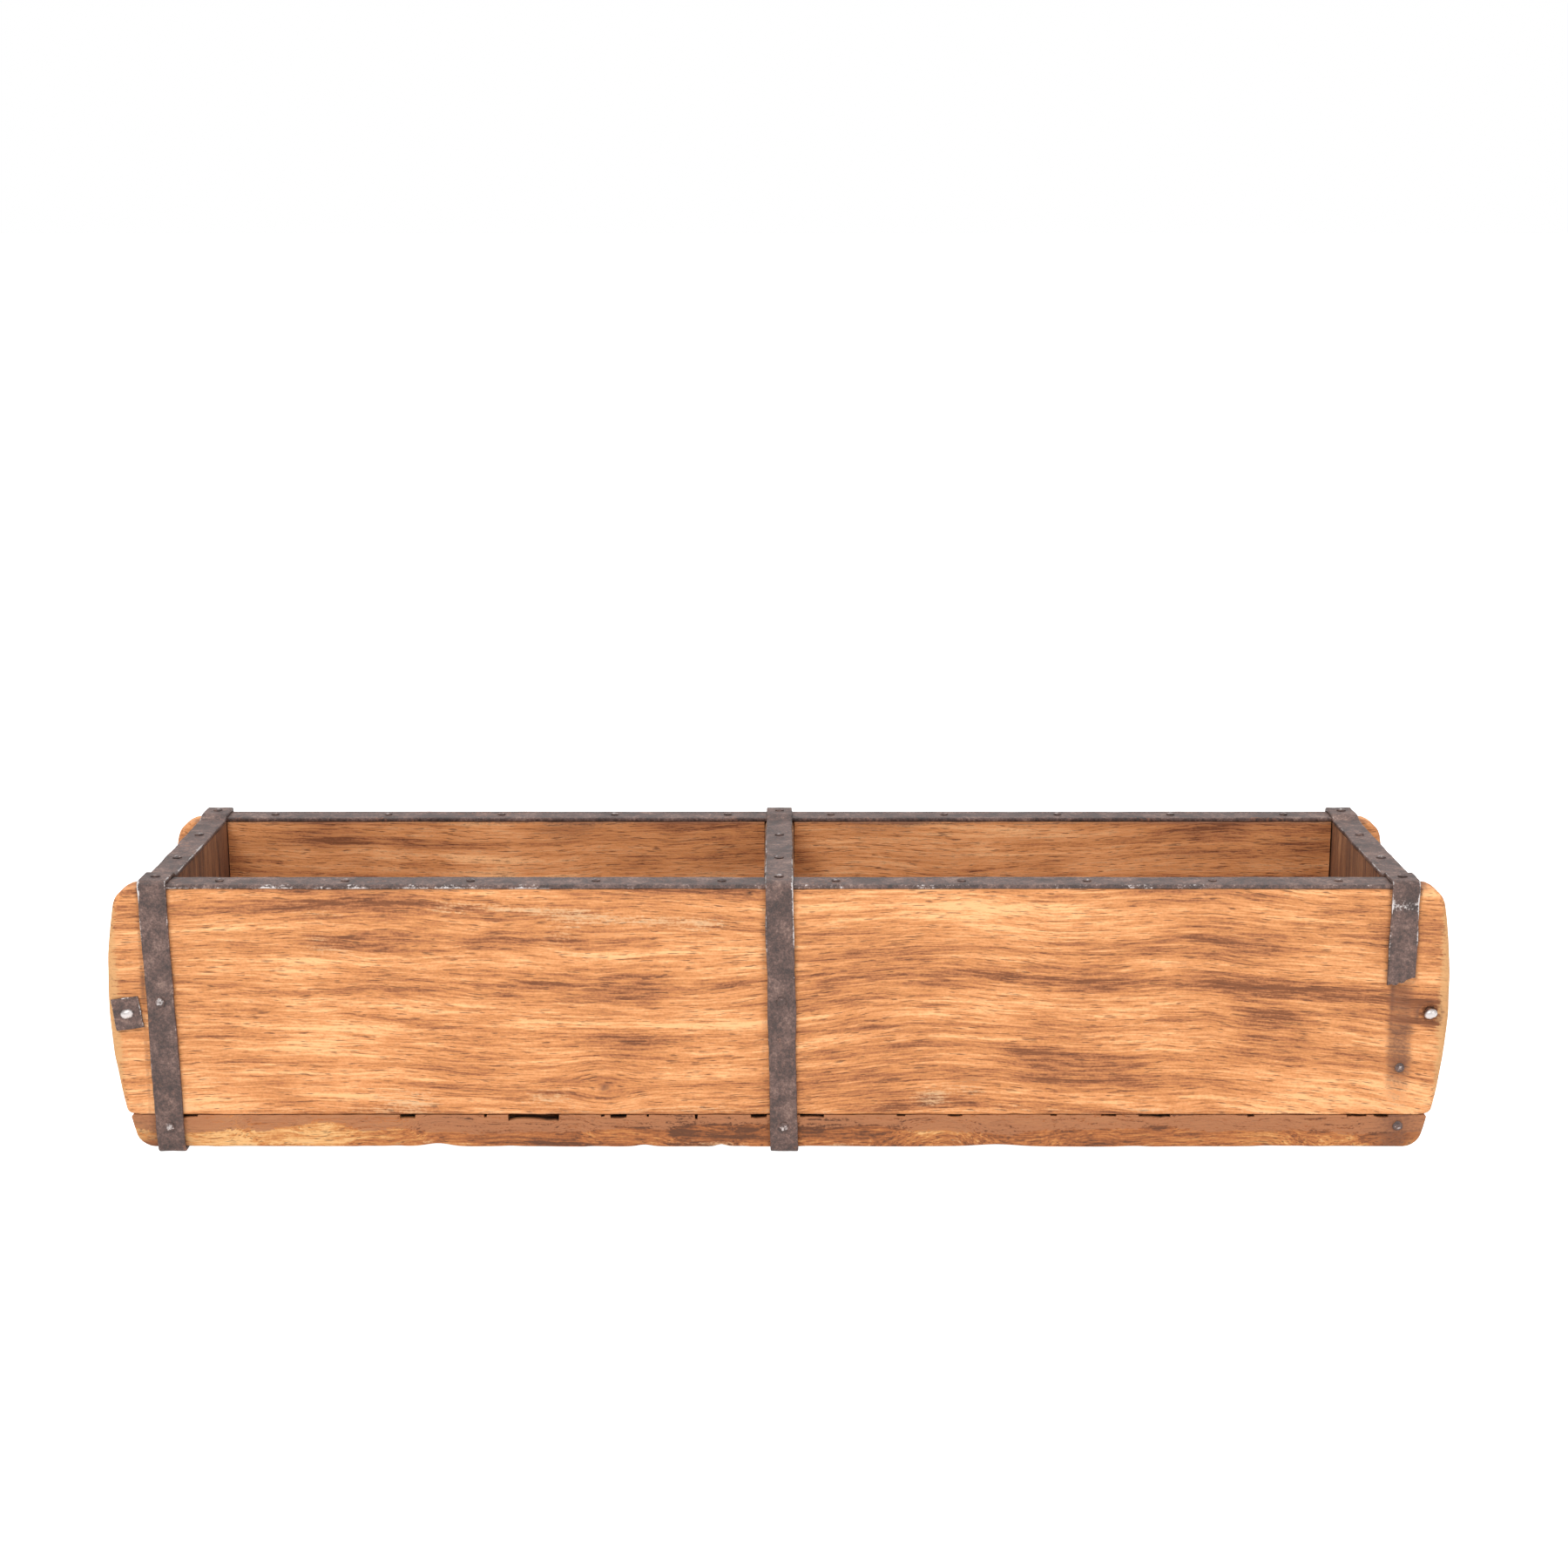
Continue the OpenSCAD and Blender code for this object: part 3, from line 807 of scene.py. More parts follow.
@dataclass
class SideBoard:
    """One of the two long boards, with curved ears, hand-sawn and worn."""

    side: Side
    seed: int
    step: float = 1.7
    core: float = 280.0
    toe: float = 3.0
    shoulder: float = 9.0
    knot: tuple[float, float] = (-77.0, 30.0)
    hole: tuple[float, float] = (-13.0, 118.0)

    def wear(self, x: Array, z: Array) -> Array:
        """Works out the radius of the arrises.

        It is small along the board and large on the ends, where hands and ropes rub.

        Args:
            x: Places along the board.
            z: Heights.

        Returns:
            The radius at each place.
        """
        ear = ease(np.abs(x), 282.5, 290.0)
        gnaw = noise((x, z, 0.0), (14.0, 9.0, 1.0), self.seed)
        return 0.55 + 2.0 * ear + 0.25 * gnaw + 0.5 * ear * gnaw

    def wander(self, x: Array, z: Array) -> Array:
        """Works out how far the grain lines wander up or down from straight ones.

        Waves of three lengths are added. On the front, lines also arch over the middle right, rise
        towards the right end, and part round the knot.

        Args:
            x: Places along the board.
            z: Heights.

        Returns:
            The way in millimetres.
        """
        wave = 4.5 * noise((x, z, 0.0), (110.0, 60.0, 1.0), self.seed + 1)
        wave = wave + 1.5 * noise((x, z, 0.0), (42.0, 18.0, 1.0), self.seed + 2)
        wave = wave + 0.35 * noise((x, z, 0.0), (12.0, 5.0, 1.0), self.seed + 3)
        if self.side is Side.FRONT:
            wave = wave - 9.0 * spot(x, z, (60.0, 62.0), (55.0, 40.0))
            wave = wave + 0.10 * np.clip(x - 190.0, 0.0, None)
            wave = wave - 0.85 * (z - self.knot[1]) * spot(x, z, self.knot, (13.0, 9.0))
        return wave

    def grain(self, points: Array) -> Array:
        """Works out where each point lies in the grain.

        Args:
            points: Points of the board.

        Returns:
            Coordinates along, across and through the grain.
        """
        x, y, z = points.T
        depth = y + 1.5 * noise((x, y, z), (70.0, 9.0, 20.0), self.seed + 4)
        return np.stack([x, z + self.wander(x, z), depth], axis=-1)

    def torn_band(self, x: Array, z: Array) -> Array:
        """Share of the place below the rim where fibres were torn out across the grain."""
        inside = ease(x, -158.0, -148.0) * (1.0 - ease(x, -26.0, -14.0))
        return inside * bell(z, 112.0 - 8.0 * ease(x, -150.0, -20.0), 4.2)

    def face_relief(self, x: Array, z: Array) -> Array:
        """Adds up the relief of the outer face.

        It has sawing waves and raised fibres. The front has the knot, the torn band, the hollow
        round the rod's bare end, and a small hole.

        Args:
            x: Places along the board.
            z: Heights.

        Returns:
            How far the face stands out, in millimetres.
        """
        relief = 0.35 * rough((x, z, 0.0), (80.0, 22.0, 1.0), self.seed + 10) - 0.25
        fibre_z = z + self.wander(x, z)
        relief = relief + 0.16 * rough((x, fibre_z, 0.0), (26.0, 3.4, 1.0), self.seed + 11, 2)
        if self.side is Side.FRONT:
            torn = 0.35 + 0.5 * rough((x, z, 0.0), (5.0, 3.6, 1.0), self.seed + 12)
            relief = relief - self.torn_band(x, z) * torn
            relief = relief - 0.5 * spot(x, z, self.knot, (3.2, 2.4))
            relief = relief - 2.6 * spot(x, z, (ROD_X, ROD_Z), (3.3, 3.3)) ** 2
            relief = relief - 0.6 * spot(x, z, self.hole, (2.0, 1.5))
        return relief

    def inner_relief(self, x: Array, z: Array) -> Array:
        """Adds up the relief of the inner face, which has the grooves for the cross boards.

        Args:
            x: Places along the board.
            z: Heights.

        Returns:
            How far the face stands out, in millimetres.
        """
        relief = 0.3 * rough((x, z, 5.0), (60.0, 20.0, 1.0), self.seed + 20) - 0.2
        for middle, half in GROOVES:
            relief = np.where(np.abs(x - middle) < half, -GROOVE_DEPTH, relief)
        return relief

    def front_marks(self, x: Array, z: Array) -> dict[str, Array]:
        """Works out the marks that the front alone has.

        They are bleached patches, the column of rust under the torn strap, the ring about the
        rod's bare end, the knot, and painted shade: black in the hole round the rod's bare end and in a small
        hole.

        Args:
            x: Places along the board.
            z: Heights.

        Returns:
            The bleached shares, the stains, and the black painted shade at each place.
        """
        pale = 0.5 * self.torn_band(x, z)
        for middle, radii, strength in (
            ((-199.0, 94.0), (14.0, 7.0), 0.5), ((-96.8, 98.7), (16.0, 8.0), 0.4),
            ((-187.9, 57.2), (12.0, 9.0), 0.3), ((-250.6, 33.1), (14.0, 7.0), 0.35),
            ((-171.6, 29.0), (22.0, 6.0), 0.35), ((79.5, 29.0), (24.0, 6.0), 0.35),
            ((-203.0, 110.5), (26.0, 7.0), 0.3), ((268.0, 112.0), (20.0, 6.0), 0.3),
        ):
            pale = pale + strength * spot(x, z, middle, radii)
        streaks = ease(noise((x, z, 0.0), (1.2, 40.0, 1.0), self.seed + 33), 0.35, 0.8)
        under = ease(z, 14.0, 50.0) * (1.0 - ease(z, 76.0, 84.0))
        column = np.exp(-(((x - 274.0) / 6.5) ** 4))
        stain = column * under * (0.55 + 0.35 * streaks)
        stain = stain + 0.5 * column * (1.0 - ease(z, 40.0, 66.0)) * (0.5 + 0.5 * streaks)
        ring = np.hypot(x - ROD_X, z - ROD_Z)
        stain = stain + 0.55 * bell(ring, 5.6, 1.3)
        stain = stain + 0.8 * spot(x, z, self.knot, (3.0, 2.2))
        stain = stain + 0.4 * spot(x, z, (85.0, 33.0), (9.0, 3.5))
        # Painted shade: black in the hole round the rod's bare end and in the small hole, whose insides are
        # shaded
        dark = np.maximum(1.0 - ease(ring, 1.8, 3.2), 0.9 * spot(x, z, self.hole, (1.6, 1.2)) ** 2)
        return {"pale": pale, "stain": stain, "dark": dark}

    def marks(self, points: Array) -> dict[str, Array]:
        """Works out the bleached, clay-covered and rubbed places, the stains, and painted shade: inside the
        bays, under the rim band, beside the straps, and black in holes.

        Args:
            points: Points of the board.

        Returns:
            The share of each mark at each point.
        """
        x, y, z = points.T
        out = ease(self.side.value * y, WALL_Y + 5.0, FACE_Y - 3.5)
        inner = 1.0 - out
        size = np.abs(x)
        blot = rough((x, z, 0.0), (34.0, 13.0, 1.0), self.seed + 30)
        pale = 0.30 * ease(blot, 0.15, 0.75)
        pale = pale + 0.35 * (1.0 - ease(z, DECK_Z + 1.0, DECK_Z + 12.0 + 9.0 * blot))
        end_band = ease(size, HALF_LEN - 7.5, HALF_LEN - 2.0) * ease(out, 0.2, 0.9)
        worn = 0.55 * end_band + 0.25 * ease(size, 284.0, 290.0)
        stain = 0.22 * ease(rough((x, z, 9.0), (50.0, 20.0, 1.0), self.seed + 31), 0.2, 0.8)
        # Painted shade under the rim band: the top 2 mm of both faces darker wherever the band runs
        stain = stain + 0.35 * ease(z, WALL_Z - 2.0, WALL_Z) * (size < 284.0)
        # Painted shade inside the bays, partly also duller wood: inner faces darker, more so lower down
        stain = stain + 0.30 * inner + 0.3 * inner * (1.0 - ease(z, 40.0, 110.0))
        clay = 0.5 * (1.0 - ease(z, DECK_Z, DECK_Z + 2.5)) + 0.4 * inner * (1.0 - ease(z, 20.0, 60.0))
        dark = np.zeros(len(x))
        if self.side is Side.FRONT:
            own = self.front_marks(x, z)
            pale, stain, dark = pale + own["pale"], stain + own["stain"], own["dark"]
        # Painted shade beside each strap: a dark line along both edges on the outer faces, only where the
        # strap lies
        for strap in STRAPS_X:
            torn = strap > 0.0 and self.side is Side.FRONT
            below = TORN_Z + 1.0 if torn else 0.0
            stain = stain + 0.5 * bell(np.abs(x - strap), 6.6, 0.9) * out * (z > below)
        return {"pale": pale * out, "stain": stain, "clay": clay, "worn": worn, "dark": dark}

    def build(self) -> Surface:
        """Builds the board: the worn lattice, then its reliefs and marks.

        Returns:
            The board's surface.
        """
        grooves = pairs([middle + edge * half for middle, half in GROOVES for edge in (-1.0, 1.0)])
        ears = np.linspace(self.core, HALF_LEN, 11)[1:]
        x_lines = np.concatenate([-ears[::-1], lines(-self.core, self.core, self.step, grooves), ears])
        rod_lines = (ROD_Z - 1.5, ROD_Z, ROD_Z + 1.5)
        z_lines = corner_lines(DECK_Z, WALL_Z, self.toe, self.shoulder, self.step, rod_lines)
        plank = Plank(HALF_LEN, DECK_Z, WALL_Z, self.toe, self.shoulder, -FACE_Y, -WALL_Y, self.core,
                      x_lines, z_lines, 5, self.wear)
        surface = plank.lattice()
        x, _, z = surface.points.T
        bottom = -0.22 - 0.22 * rough((x, 0.0, 0.0), (7.0, 1.0, 1.0), self.seed + 21)
        top = 0.1 * noise((x, 0.0, 0.0), (9.0, 1.0, 1.0), self.seed + 22) - 0.1
        plank.carve(surface, self.face_relief(x, z), self.inner_relief(x, z), top, bottom)
        if self.side is Side.BACK:
            surface.points = surface.points * np.array([1.0, -1.0, 1.0])
            surface.quads = surface.quads[:, ::-1]
        surface.marks = self.marks(surface.points)
        surface.marks["grain"] = self.grain(surface.points)
        return surface

    def dress(self, wood: Material) -> None:
        """Makes the board's object."""
        make_piece(self.side.word + "_side_board", "wood", self.build(), wood)


@dataclass
class BaseBoard:
    """The board under the mould, with dried clay over its edges and in the joint above it."""

    seed: int = 400
    step: float = 1.9
    core: float = 278.0
    setback: float = 1.5
    toe: float = 8.0
    shoulder: float = 1.0

    def wear(self, x: Array, z: Array) -> Array:
        """Works out the radius of the arrises, larger at the rounded lower corners.

        Args:
            x: Places along the board.
            z: Heights.

        Returns:
            The radius at each place.
        """
        gnaw = noise((x, z, 0.0), (12.0, 8.0, 1.0), self.seed)
        low = 1.0 - ease(z, FOOT_Z + 1.0, FOOT_Z + 6.0)
        return 0.5 + 0.2 * gnaw + 0.7 * low * (1.0 + 0.6 * gnaw) * ease(np.abs(x), 150.0, 290.0)

    def joint_drop(self, x: Array) -> Array:
        """Works out how far the clay stands below the front board.

        Args:
            x: Places along the board.

        Returns:
            The height of the open places, and a hair elsewhere.
        """
        drop = 0.12 + 0.12 * noise((x, 0.0, 0.0), (3.0, 1.0, 1.0), self.seed + 1)
        for start, end, height in OPEN_JOINT:
            ragged = height * (0.85 + 0.3 * noise((x, 0.0, 0.0), (2.5, 1.0, 1.0), self.seed + 2))
            drop = np.where((x > start) & (x < end), ragged, drop)
        return drop

    def clay_skin(self, x: Array, z: Array) -> Array:
        """Where dried clay covers the long edges: mostly their upper two thirds."""
        reach = 8.5 + 4.5 * rough((x, 0.0, 3.0), (34.0, 1.0, 1.0), self.seed + 5)
        return ease(z, reach, reach + 3.0)

    def edge_relief(self, x: Array, z: Array) -> Array:
        """Adds up the relief of the long edges: dents, and clay a little proud at the top.

        Args:
            x: Places along the board.
            z: Heights.

        Returns:
            How far the edge stands out, in millimetres.
        """
        relief = 0.45 * rough((x, z, 0.0), (46.0, 14.0, 1.0), self.seed + 3) - 0.45
        relief = relief + 0.2 * rough((x, z, 0.0), (8.0, 4.0, 1.0), self.seed + 4)
        return relief + 0.3 * self.clay_skin(x, z)

    def chips(self, x: Array) -> Array:
        """Works out how high chips have opened the lower arris: small ones, and four large.

        Args:
            x: Places along the board.

        Returns:
            The height at each place.
        """
        chip = 0.4 * ease(rough((x, 0.0, 7.0), (20.0, 1.0, 1.0), self.seed + 6), 0.1, 0.8)
        large = ((-152.0, 7.0, 1.5), (-26.0, 2.5, 1.0), (97.0, 12.0, 1.0), (-60.0, 4.0, 0.8))
        for middle, half, height in large:
            chip = chip + height * bell(x, middle, half)
        return chip

    def grain(self, points: Array) -> Array:
        """Works out where each point lies in the grain, which runs curly along the edges.

        Args:
            points: Points of the board.

        Returns:
            Coordinates along, across and through the grain.
        """
        x, y, z = points.T
        curl = 7.0 * noise((x, y, z), (36.0, 60.0, 30.0), self.seed + 7)
        curl = curl + 2.2 * noise((x, y, z), (13.0, 30.0, 12.0), self.seed + 8)
        return np.stack([x, y + curl, z + 0.8 * curl], axis=-1)

    def marks(self, points: Array) -> dict[str, Array]:
        """Works out the bleached and clay-covered places, the stains, and the black painted shade inside the
        open joint.

        Args:
            points: Points of the board.

        Returns:
            The share of each mark at each point.
        """
        x, y, z = points.T
        edge = ease(np.abs(y), FACE_Y - 3.0, FACE_Y - 1.0)
        ends = ease(np.abs(x), 240.0, 290.0)
        blot = rough((x, y, z), (26.0, 26.0, 12.0), self.seed + 10)
        deck = ease(z, DECK_Z - 2.0, DECK_Z - 0.5) * (1.0 - edge)
        clay = 0.62 * edge * self.clay_skin(x, z) + deck * (0.35 + 0.25 * blot) + 0.25 * ends * edge
        low = (1.0 - ease(z, 3.0, 7.0)) * edge
        pale = 0.35 * low * (0.6 + blot) + 0.2 * ease(blot, 0.3, 0.8)
        stain = 0.25 * ease(rough((x, y, z), (40.0, 40.0, 20.0), self.seed + 11), 0.1, 0.7)
        stain = stain + 0.35 * ends * edge
        for strap in STRAPS_X:
            stain = stain + 0.4 * bell(x, strap, 9.0) * edge
        # Painted shade: black inside the open joint, where the clay stands below the front board
        inside = ease(DECK_Z - z, 0.35, 1.0) * ease(FACE_Y - np.abs(y), 0.5, 1.2)
        opened = ease(self.joint_drop(x), 0.5, 0.9)
        dark = opened * inside * ease(z, DECK_Z - 4.0, DECK_Z - 3.5)
        return {"pale": pale, "stain": stain, "clay": clay, "worn": 0.0 * x, "dark": dark}

    def build(self) -> Surface:
        """Builds the board: the worn lattice, then its reliefs and marks.

        Returns:
            The board's surface.
        """
        reach = HALF_LEN - self.setback
        gaps = pairs([place for gap in OPEN_JOINT for place in gap[:2]], 0.12)
        ears = np.linspace(self.core, reach, 10)[1:]
        x_lines = np.concatenate([-ears[::-1], lines(-self.core, self.core, self.step, gaps), ears])
        z_lines = corner_lines(FOOT_Z, DECK_Z, self.toe, self.shoulder, 1.2)
        plank = Plank(reach, FOOT_Z, DECK_Z, self.toe, self.shoulder, -FACE_Y, FACE_Y, self.core,
                      x_lines, z_lines, 44, self.wear)
        surface = plank.lattice()
        x, y, z = surface.points.T
        near_edge = ease(np.abs(y), FACE_Y - 6.0, FACE_Y - 5.0)
        deck = 0.25 * rough((x, y, 0.0), (22.0, 12.0, 1.0), self.seed + 12) - 0.25
        top = np.where(y < 0.0, -self.joint_drop(x) * near_edge, 0.0) + deck * (1.0 - near_edge)
        relief = self.edge_relief(x, z)
        plank.carve(surface, relief, relief, top, -self.chips(x) * ease(np.abs(y), 60.0, 78.0))
        surface.marks = self.marks(surface.points)
        surface.marks["grain"] = self.grain(surface.points)
        return surface

    def dress(self, wood: Material) -> None:
        """Makes the board's object."""
        make_piece("base_board", "wood", self.build(), wood)


@dataclass
class CrossBoard:
    """An end board or the divider, housed upright between the side boards."""

    node: str
    middle: float
    thick: float
    seed: int

    def build(self) -> Surface:
        """Builds the board as a worn block, its faces moved by sawing waves and raised fibres.

        Returns:
            The board's surface.
        """
        half = self.thick / 2.0
        low = (self.middle - half, -CROSS_Y, DECK_Z)
        high = (self.middle + half, CROSS_Y, WALL_Z)
        surface, away = worn_block(low, high, (2.4, 1.7, 1.7), 0.7)
        x, y, z = surface.points.T
        relief = 0.35 * rough((x, y, z), (30.0, 16.0, 50.0), self.seed) - 0.35
        relief = relief + 0.12 * rough((x, y, z), (8.0, 2.6, 22.0), self.seed + 1, 2)
        surface.points = surface.points + away * relief[:, None]
        wave = 3.0 * noise((x, y, z), (40.0, 30.0, 60.0), self.seed + 2)
        surface.marks = self.marks(surface.points)
        surface.marks["grain"] = np.stack([z, y + wave, x], axis=-1)
        return surface

    def marks(self, points: Array) -> dict[str, Array]:
        """Works out the bleached and clay-covered places, and the stains with painted shade of the bay,
        darker towards the bay floor.

        Args:
            points: Points of the board.

        Returns:
            The share of each mark at each point.
        """
        x, y, z = points.T
        blot = rough((x, y, z), (30.0, 18.0, 26.0), self.seed + 3)
        # Stains in blots, plus painted shade of the bay: an even darkening, and more towards the bay floor
        stain = 0.25 + 0.3 * ease(blot, -0.2, 0.6) + 0.3 * (1.0 - ease(z, 20.0, 90.0))
        clay = 0.25 * ease(-blot, 0.0, 0.6) + 0.3 * (1.0 - ease(z, 17.0, 50.0))
        zero = 0.0 * x
        return {"pale": 0.2 * ease(blot, 0.4, 0.9), "stain": stain, "clay": clay, "worn": zero, "dark": zero}

    def dress(self, wood: Material) -> None:
        """Makes the board's object."""
        make_piece(self.node, "wood", self.build(), wood)


# Ironwork


def flat_section(width: float, thick: float, corner: float, flats: int) -> tuple[Array, Array]:
    """Section of a flat bar: a rectangle with quarter rounds at its corners.

    Args:
        width: Width of the bar.
        thick: Its thickness.
        corner: Radius of its corners.
        flats: Steps across its outer side.

    Returns:
        Places across and outward, running right-handed from the outer side.
    """
    turn = np.radians(np.array([0.0, 30.0, 60.0, 90.0]))
    w, t = width / 2.0 - corner, thick / 2.0 - corner
    outer = np.linspace(w, -w, flats + 1)[1:-1]
    inner = np.linspace(-w, w, 4)[1:-1]
    u = np.concatenate([w + corner * np.cos(turn), outer, -w - corner * np.sin(turn),
                        -w - corner * np.cos(turn), inner, w + corner * np.sin(turn)])
    over, under = np.full(len(outer), thick / 2.0), np.full(len(inner), -thick / 2.0)
    v = np.concatenate([t + corner * np.sin(turn), over, t + corner * np.cos(turn),
                        -t - corner * np.sin(turn), under, -t - corner * np.cos(turn)])
    return u, v


def run_along(corners: Sequence[Sequence[float]], radii: Sequence[float], step: float) -> tuple[Array, Array]:
    """A path of straight stretches with rounded corners, as evenly spaced points.

    Each corner is replaced by a quadratic curve that starts and ends its radius away from it.

    Args:
        corners: Corners of the path in a plane.
        radii: How far from each corner its curve starts; the first and last are not used.
        step: Distance between points.

    Returns:
        The points, and the distance along the path at each.
    """
    places = np.array(corners, dtype=float)
    dense = [places[0]]
    for before, here, after, radius in zip(places[:-2], places[1:-1], places[2:], radii[1:-1]):
        start = here + (before - here) / np.linalg.norm(before - here) * radius
        end = here + (after - here) / np.linalg.norm(after - here) * radius
        t = np.linspace(0.0, 1.0, 9)[:, None]
        dense.extend((1.0 - t) ** 2 * start + 2.0 * t * (1.0 - t) * here + t**2 * end)
    dense = np.array([*dense, places[-1]])
    gone = np.concatenate([[0.0], np.cumsum(np.linalg.norm(np.diff(dense, axis=0), axis=1))])
    wanted = np.union1d(np.linspace(0.0, gone[-1], round(gone[-1] / step)), gone)
    wanted = wanted[np.concatenate([[True], np.diff(wanted) > 0.12])]
    points = np.stack([np.interp(wanted, gone, dense[:, axis]) for axis in range(2)], axis=-1)
    return points, wanted


@dataclass
class Strap:
    """A hoop-iron strap over the mould: up the front, over both rims, down the back, and folded under."""

    node: str
    middle: float
    seed: int
    lean: float = STRAP_LEAN
    torn: bool = False
    width: float = 12.5
    step: float = 1.2
    foot_y: float = 59.0
    joggle_y: tuple[float, float] = (58.6, 63.6)

    def torn_rise(self, share: Array) -> Array:
        """Works out how far the torn end's edge stands up.

        Args:
            share: Share of the width, from the right edge.

        Returns:
            The height at each share.
        """
        places = [0.0, 0.14, 0.24, 0.36, 0.38, 0.45, 0.57, 0.65, 0.82, 1.0]
        rises = [0.0, 0.8, 0.1, 0.3, 2.3, 0.9, 1.2, 2.5, 3.5, 3.7]
        return np.interp(share, places, rises)

    def path(self) -> tuple[Array, Array, Array]:
        """Works out the strap's middle line in YZ.

        Returns:
            Its points, the directions outward, and the distances along it.
        """
        half = IRON_T / 2.0
        leg = FACE_Y + half
        inner, outer = self.joggle_y
        low, high = RIM_Z - half, TOP_Z - half
        over = [(-leg, high), (-outer, high), (-inner, low), (inner, low), (outer, high), (leg, high),
                (leg, half), (self.foot_y, half)]
        corners = ([(-leg, TORN_Z)] if self.torn else [(-self.foot_y, half), (-leg, half)]) + over
        radii = [1.6 if abs(y) > BAND_Y else 0.9 for y, _ in corners]
        points, gone = run_along(corners, radii, self.step)
        ahead = np.gradient(points, gone, axis=0)
        ahead /= np.linalg.norm(ahead, axis=1, keepdims=True)
        return points, np.stack([-ahead[:, 1], ahead[:, 0]], axis=-1), gone

    def build(self) -> Surface:
        """Carries the flat section along the path, with wavy edges, hammer dents and a torn end.

        Returns:
            The strap's surface.
        """
        centre, out, gone = self.path()
        u0, v0 = flat_section(self.width, IRON_T, 0.55, 10)
        s, u = np.meshgrid(gone, u0, indexing="ij")
        side = np.sign(u)
        wavy = 0.28 * noise((s, side * 3.0, 0.0), (17.0, 1.0, 1.0), self.seed) - 0.15
        wavy = wavy + 0.12 * noise((s, side * 3.0, 0.0), (4.0, 1.0, 1.0), self.seed + 1)
        u = u + side * ease(np.abs(u), 4.0, 6.0) * wavy
        dents = 0.16 * rough((s, u, 0.0), (7.0, 5.0, 1.0), self.seed + 2) - 0.1
        v = v0 + ease(v0, 0.0, IRON_T / 2.0) * dents
        y = centre[:, :1] + out[:, :1] * v
        z = np.maximum(centre[:, 1:] + out[:, 1:] * v, 0.0)
        if self.torn:
            z = z + self.torn_rise(0.5 + u / self.width) * (1.0 - ease(s, 0.0, 16.0))
        slant = math.tan(math.radians(self.lean)) * np.clip(RIM_Z - z, 0.0, None) * (y < 0.0)
        rings = np.stack([self.middle + u + slant, y, z], axis=-1)
        return tube(rings, self.marks(rings, s, u, v))

    def marks(self, rings: Array, s: Array, u: Array, v: Array) -> dict[str, Array]:
        """Works out the bright rubbed edges and patches, and the rust.

        Args:
            rings: Points of the strap.
            s: Distances along it.
            u: Places across it.
            v: Places outward from its middle.

        Returns:
            The share of each mark at each point.
        """
        y, z = rings[..., 1], rings[..., 2]
        front = y < 0.0
        edge = ease(np.abs(u), 5.2, 6.1) * ease(v, 0.2, 0.9)
        upper = np.where(front, ease(z, 60.0, 118.0), 0.4)
        ragged = noise((s, np.sign(u) * 5.0, 0.0), (6.0, 1.0, 1.0), self.seed + 5)
        bright = edge * (0.25 + 0.45 * upper + 0.3 * ragged)
        bright = bright + 0.25 * bell(np.abs(y), FACE_Y + 1.0, 1.5) * bell(z, TOP_Z - 1.0, 2.5)
        rust = 0.35 * ease(rough((s, u, 0.0), (16.0, 8.0, 1.0), self.seed + 6), 0.0, 0.7)
        if self.torn:
            bright = bright + 0.5 * bell(z, 113.0, 4.5) * front * ease(v, 0.0, 0.8)
        return {"bright": bright, "rust": rust}

    def dress(self, iron: Material) -> None:
        """Makes the strap's object."""
        make_piece(self.node, "iron", self.build(), iron)


@dataclass
class RimBand:
    """Flat iron nailed along the top of a side board."""

    side: Side
    seed: int
    half: float = 277.75
    width: float = 16.0

    def build(self) -> Surface:
        """Carries the flat section straight along X, with wavy edges, hammer dents, rubbed edges and a
        painted highlight along the lower outer edge.

        Returns:
            The band's surface.
        """
        u0, v0 = flat_section(self.width, IRON_T, 0.5, 10)
        x0 = lines(-self.half, self.half, 1.5, (-self.half + 0.4, self.half - 0.4))
        x, u = np.meshgrid(x0, u0, indexing="ij")
        edge_side = np.sign(u)
        wavy = 0.25 * noise((x, edge_side * 4.0, 0.0), (28.0, 1.0, 1.0), self.seed) - 0.1
        wavy = wavy + 0.1 * noise((x, edge_side * 4.0, 0.0), (5.0, 1.0, 1.0), self.seed + 1)
        u = u + edge_side * ease(np.abs(u), 6.0, 7.6) * wavy
        dents = 0.14 * rough((x, u, 0.0), (9.0, 6.0, 1.0), self.seed + 2) - 0.1
        v = v0 + ease(v0, 0.0, IRON_T / 2.0) * dents
        rings = np.stack([x, self.side.value * (BAND_Y + u), RIM_Z - IRON_T / 2.0 + v], axis=-1)
        edge = ease(u, 6.6, 7.7) * ease(np.abs(v), 0.1, 0.6)
        # Painted highlight: the lower half of the outer edge is brighter, most of all on the front band's
        # left part
        left = 1.0 - ease(x, -90.0, -60.0) if self.side is Side.FRONT else 0.3
        ragged = noise((x, 0.0, 2.0), (8.0, 1.0, 1.0), self.seed + 5)
        bright = edge * (0.3 + 0.25 * ragged + 0.3 * left * ease(-v, 0.2, 0.7))
        rust = 0.4 * ease(rough((x, u, 0.0), (22.0, 8.0, 1.0), self.seed + 6), 0.0, 0.7)
        return tube(rings, {"bright": bright, "rust": rust})

    def dress(self, iron: Material) -> None:
        """Makes the band's object."""
        make_piece(self.side.word + "_rim_band", "iron", self.build(), iron)


